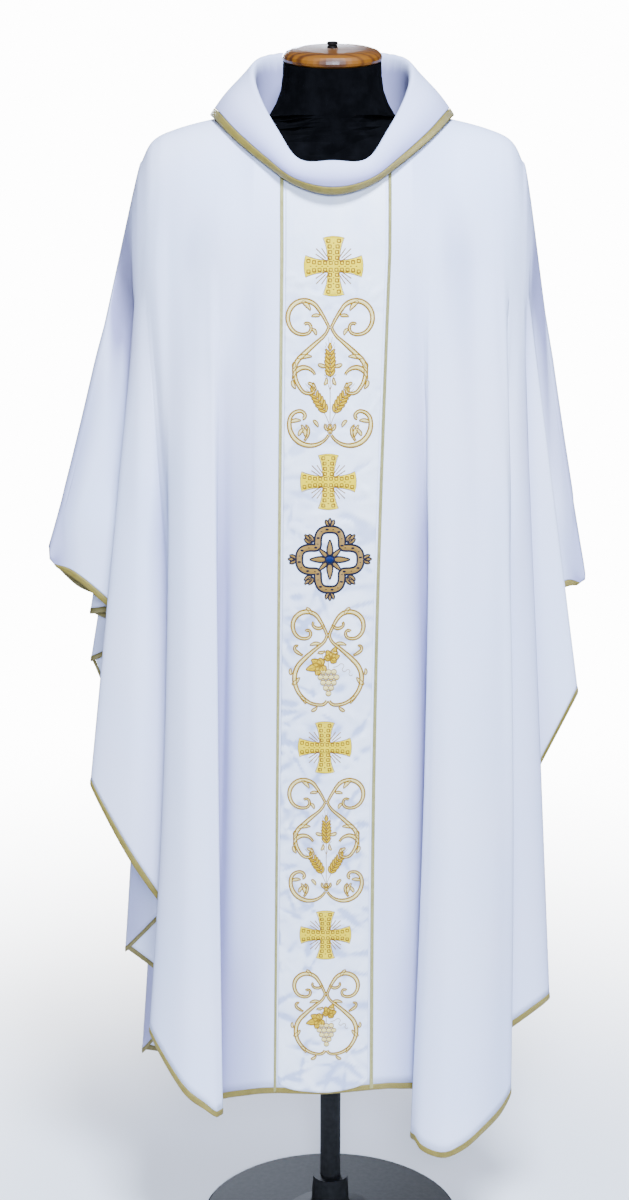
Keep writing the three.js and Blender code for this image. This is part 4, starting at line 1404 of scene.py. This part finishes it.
# ---- seams and stitches ----
STITCH_PITCH = 3.4
STITCH_LENGTH = 2.4
STITCH_WIDTH = 0.7
STITCH_HEIGHT = 0.35
STITCH_LIFT = 1.3  # from the ribbon's middle to its face
THREAD_GOLD = thread_material("thread_gold", (0.4, 0.35, 0.12), (0.2, 0.17, 0.04), 0.5)


def make_stitches(name, path, facing):
    """Row of sewing stitches along a path: short raised dashes, half sunk in the cloth."""
    run = run_of(path)
    profile = np.array([[0, -1, -0.3], [0.2, -1, 0.2], [0.8, -1, 0.2], [1, -1, -0.3]])
    rows = [
        profile * np.array([1, side, 1]) + np.array([0, 0, rise])
        for side, rise in ((-1, 0), (0, 0.8), (1, 0))
    ]
    verts = []
    faces = []
    for k, start in enumerate(np.arange(STITCH_PITCH, run[-1] - STITCH_PITCH, STITCH_PITCH)):
        for row in rows:
            lengths = start + row[:, 0] * STITCH_LENGTH
            at = resample(path, run, lengths)
            up = unit(resample(facing, run, lengths))
            side = unit(np.cross(unit(at[-1] - at[0])[None, :], up))
            across = side * (row[:, 1:2] * -STITCH_WIDTH / 2)
            verts.append(at + across + up * (row[:, 2:3] * STITCH_HEIGHT))
        faces.append(grid_faces(3, 4, k * 12))
    piece = new_piece(name, np.concatenate(verts), np.concatenate(faces), THREAD_GOLD)


for label, panel in (("front", front), ("back", back)):
    facing = panel["normals"][:, HEM_TOP + 1]
    path = panel["points"][:, HEM_TOP + 1] + facing * STITCH_LIFT
    make_stitches(label + "_hem_stitches", path, facing)
ring = np.arange(COLLAR_COLUMNS + 1) % COLLAR_COLUMNS
facing = bound_normals[ring, 1]
make_stitches("collar_trim_stitches", bound_points[ring, 1] + facing * STITCH_LIFT, facing)


WELT_SIDES = 8


def make_welt(name, path, radius):
    """Narrow round welt along a seam."""
    upright = np.array([0, 1, 0])
    side = unit(np.cross(unit(np.gradient(path, axis=0)), upright))
    turns = (np.arange(WELT_SIDES) / WELT_SIDES * 2 * math.pi)[None, :, None]
    verts = path[:, None] + (side[:, None] * np.cos(turns) + upright * np.sin(turns)) * radius
    count = len(path)
    ends = [list(range(k, WELT_SIDES * count, count)) for k in (0, count - 1)]
    faces = [*grid_faces(WELT_SIDES, count, 0, closed=True).tolist(), ends[0], ends[1][::-1]]
    piece = new_piece(name, np.moveaxis(verts, 1, 0).reshape(-1, 3), faces, CREPE)


for label, side in SIDES:
    x, z, _ = SEAM_LINES[label]
    path = np.stack([side * x, np.zeros_like(x), z - 0.2], axis=-1)[4:-4]
    make_welt("shoulder_seam_" + label, path, 1.15)

seam_rows = slice(20, COLLAR_ROWS)
lifted = collar_normals[0, seam_rows] * (CLOTH / 2 - 0.25)
make_welt("collar_seam", collar_points[0, seam_rows] + lifted, 0.6)

# ---- dress form and stand: the solids keep their shape and get their finish ----
for node, mat in (
    ("torso", JERSEY),
    ("neck_cap", LACQUER),
    ("cap_knob", KNOB_METAL),
    ("pole", STAND_PAINT),
    ("base_plate", STAND_PAINT),
):
    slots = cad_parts[node].data.materials
    slots.clear()
    slots.append(mat)

# ---- floor and light ----
FLOOR_RADIUS = 2.6
FLOOR_PLAIN = 0.3  # from here out it fades
AMBIENT = (0.76, 0.73, 1.0)
AMBIENT_STRENGTH = 0.14
BACKDROP_STRENGTH = 14.0
COOL = (0.66, 0.78, 1)
LIGHTS = table("name at aim size power colour", [
    ("key", (0.35, -1.9, 3.6), (0, 0, 1.0), 0.7, 385, COOL),
    ("front", (0.1, -4.2, 2.2), (0, 0, 0.9), 0.8, 300, COOL),
    ("behind", (-0.7, 4.0, 1.9), (0, 0, 0.8), 1.6, 320, (0.76, 0.84, 1)),
])


def make_floor():
    """Pale floor under the stand, fading softly into the pale backdrop."""
    mesh = bpy.data.meshes.new("floor")
    turns = np.linspace(0, 2 * math.pi, 96, endpoint=False)
    rim = [(FLOOR_RADIUS * math.cos(a), FLOOR_RADIUS * math.sin(a), 0) for a in turns]
    mesh.from_pydata(rim, [], [tuple(range(len(rim)))])
    mat, tree, bsdf = material("floor_pale", (0.9, 0.9, 0.91), 0.9)
    distance = add(tree, "VectorMath", operation="LENGTH", vector=coordinates(tree))
    fade = add(
        tree, "MapRange", interpolation_type="SMOOTHSTEP", value=distance.outputs["Value"],
        from_min=FLOOR_PLAIN, from_max=FLOOR_RADIUS,
    )
    clear = add(tree, "BsdfTransparent")
    mix = add(tree, "MixShader", fac=fade.outputs["Result"])
    tree.links.new(bsdf.outputs["BSDF"], mix.inputs[1])
    tree.links.new(clear.outputs["BSDF"], mix.inputs[2])
    tree.links.new(mix.outputs["Shader"], tree.nodes["Material Output"].inputs["Surface"])
    mesh.materials.append(mat)
    floor = bpy.data.objects.new("floor", mesh)
    bpy.context.scene.collection.objects.link(floor)


def make_light(name, at, aim, size, power, colour):
    data = bpy.data.lights.new(name, "AREA")
    data.shape = "RECTANGLE"
    data.size = data.size_y = size
    data.energy = power
    data.color = colour
    lamp = bpy.data.objects.new(name, data)
    lamp.location = at
    lamp.rotation_euler = (Vector(aim) - Vector(at)).to_track_quat("-Z", "Y").to_euler()
    bpy.context.scene.collection.objects.link(lamp)


def make_world():
    """Cool dim light, dimmer from below, and a plain pale backdrop behind the object."""
    world = bpy.data.worlds.new("studio")
    world.use_nodes = True
    tree = world.node_tree
    around = tree.nodes["Background"]
    around.inputs["Color"].default_value = (*AMBIENT, 1)
    direction = add(tree, "TexCoord").outputs["Generated"]
    upward = add(
        tree, "MapRange", value=add(tree, "SeparateXYZ", vector=direction).outputs["Z"],
        from_min=-0.3, from_max=0.6, to_min=0.35 * AMBIENT_STRENGTH, to_max=AMBIENT_STRENGTH,
    )
    tree.links.new(upward.outputs["Result"], around.inputs["Strength"])
    seen = add(tree, "Background", color=(1, 1, 1, 1), strength=BACKDROP_STRENGTH)
    mix = add(tree, "MixShader", fac=add(tree, "LightPath").outputs["Is Camera Ray"])
    tree.links.new(around.outputs["Background"], mix.inputs[1])
    tree.links.new(seen.outputs["Background"], mix.inputs[2])
    tree.links.new(mix.outputs["Shader"], tree.nodes["World Output"].inputs["Surface"])
    bpy.context.scene.world = world


make_floor()
make_world()
for row in LIGHTS:
    make_light(**row)
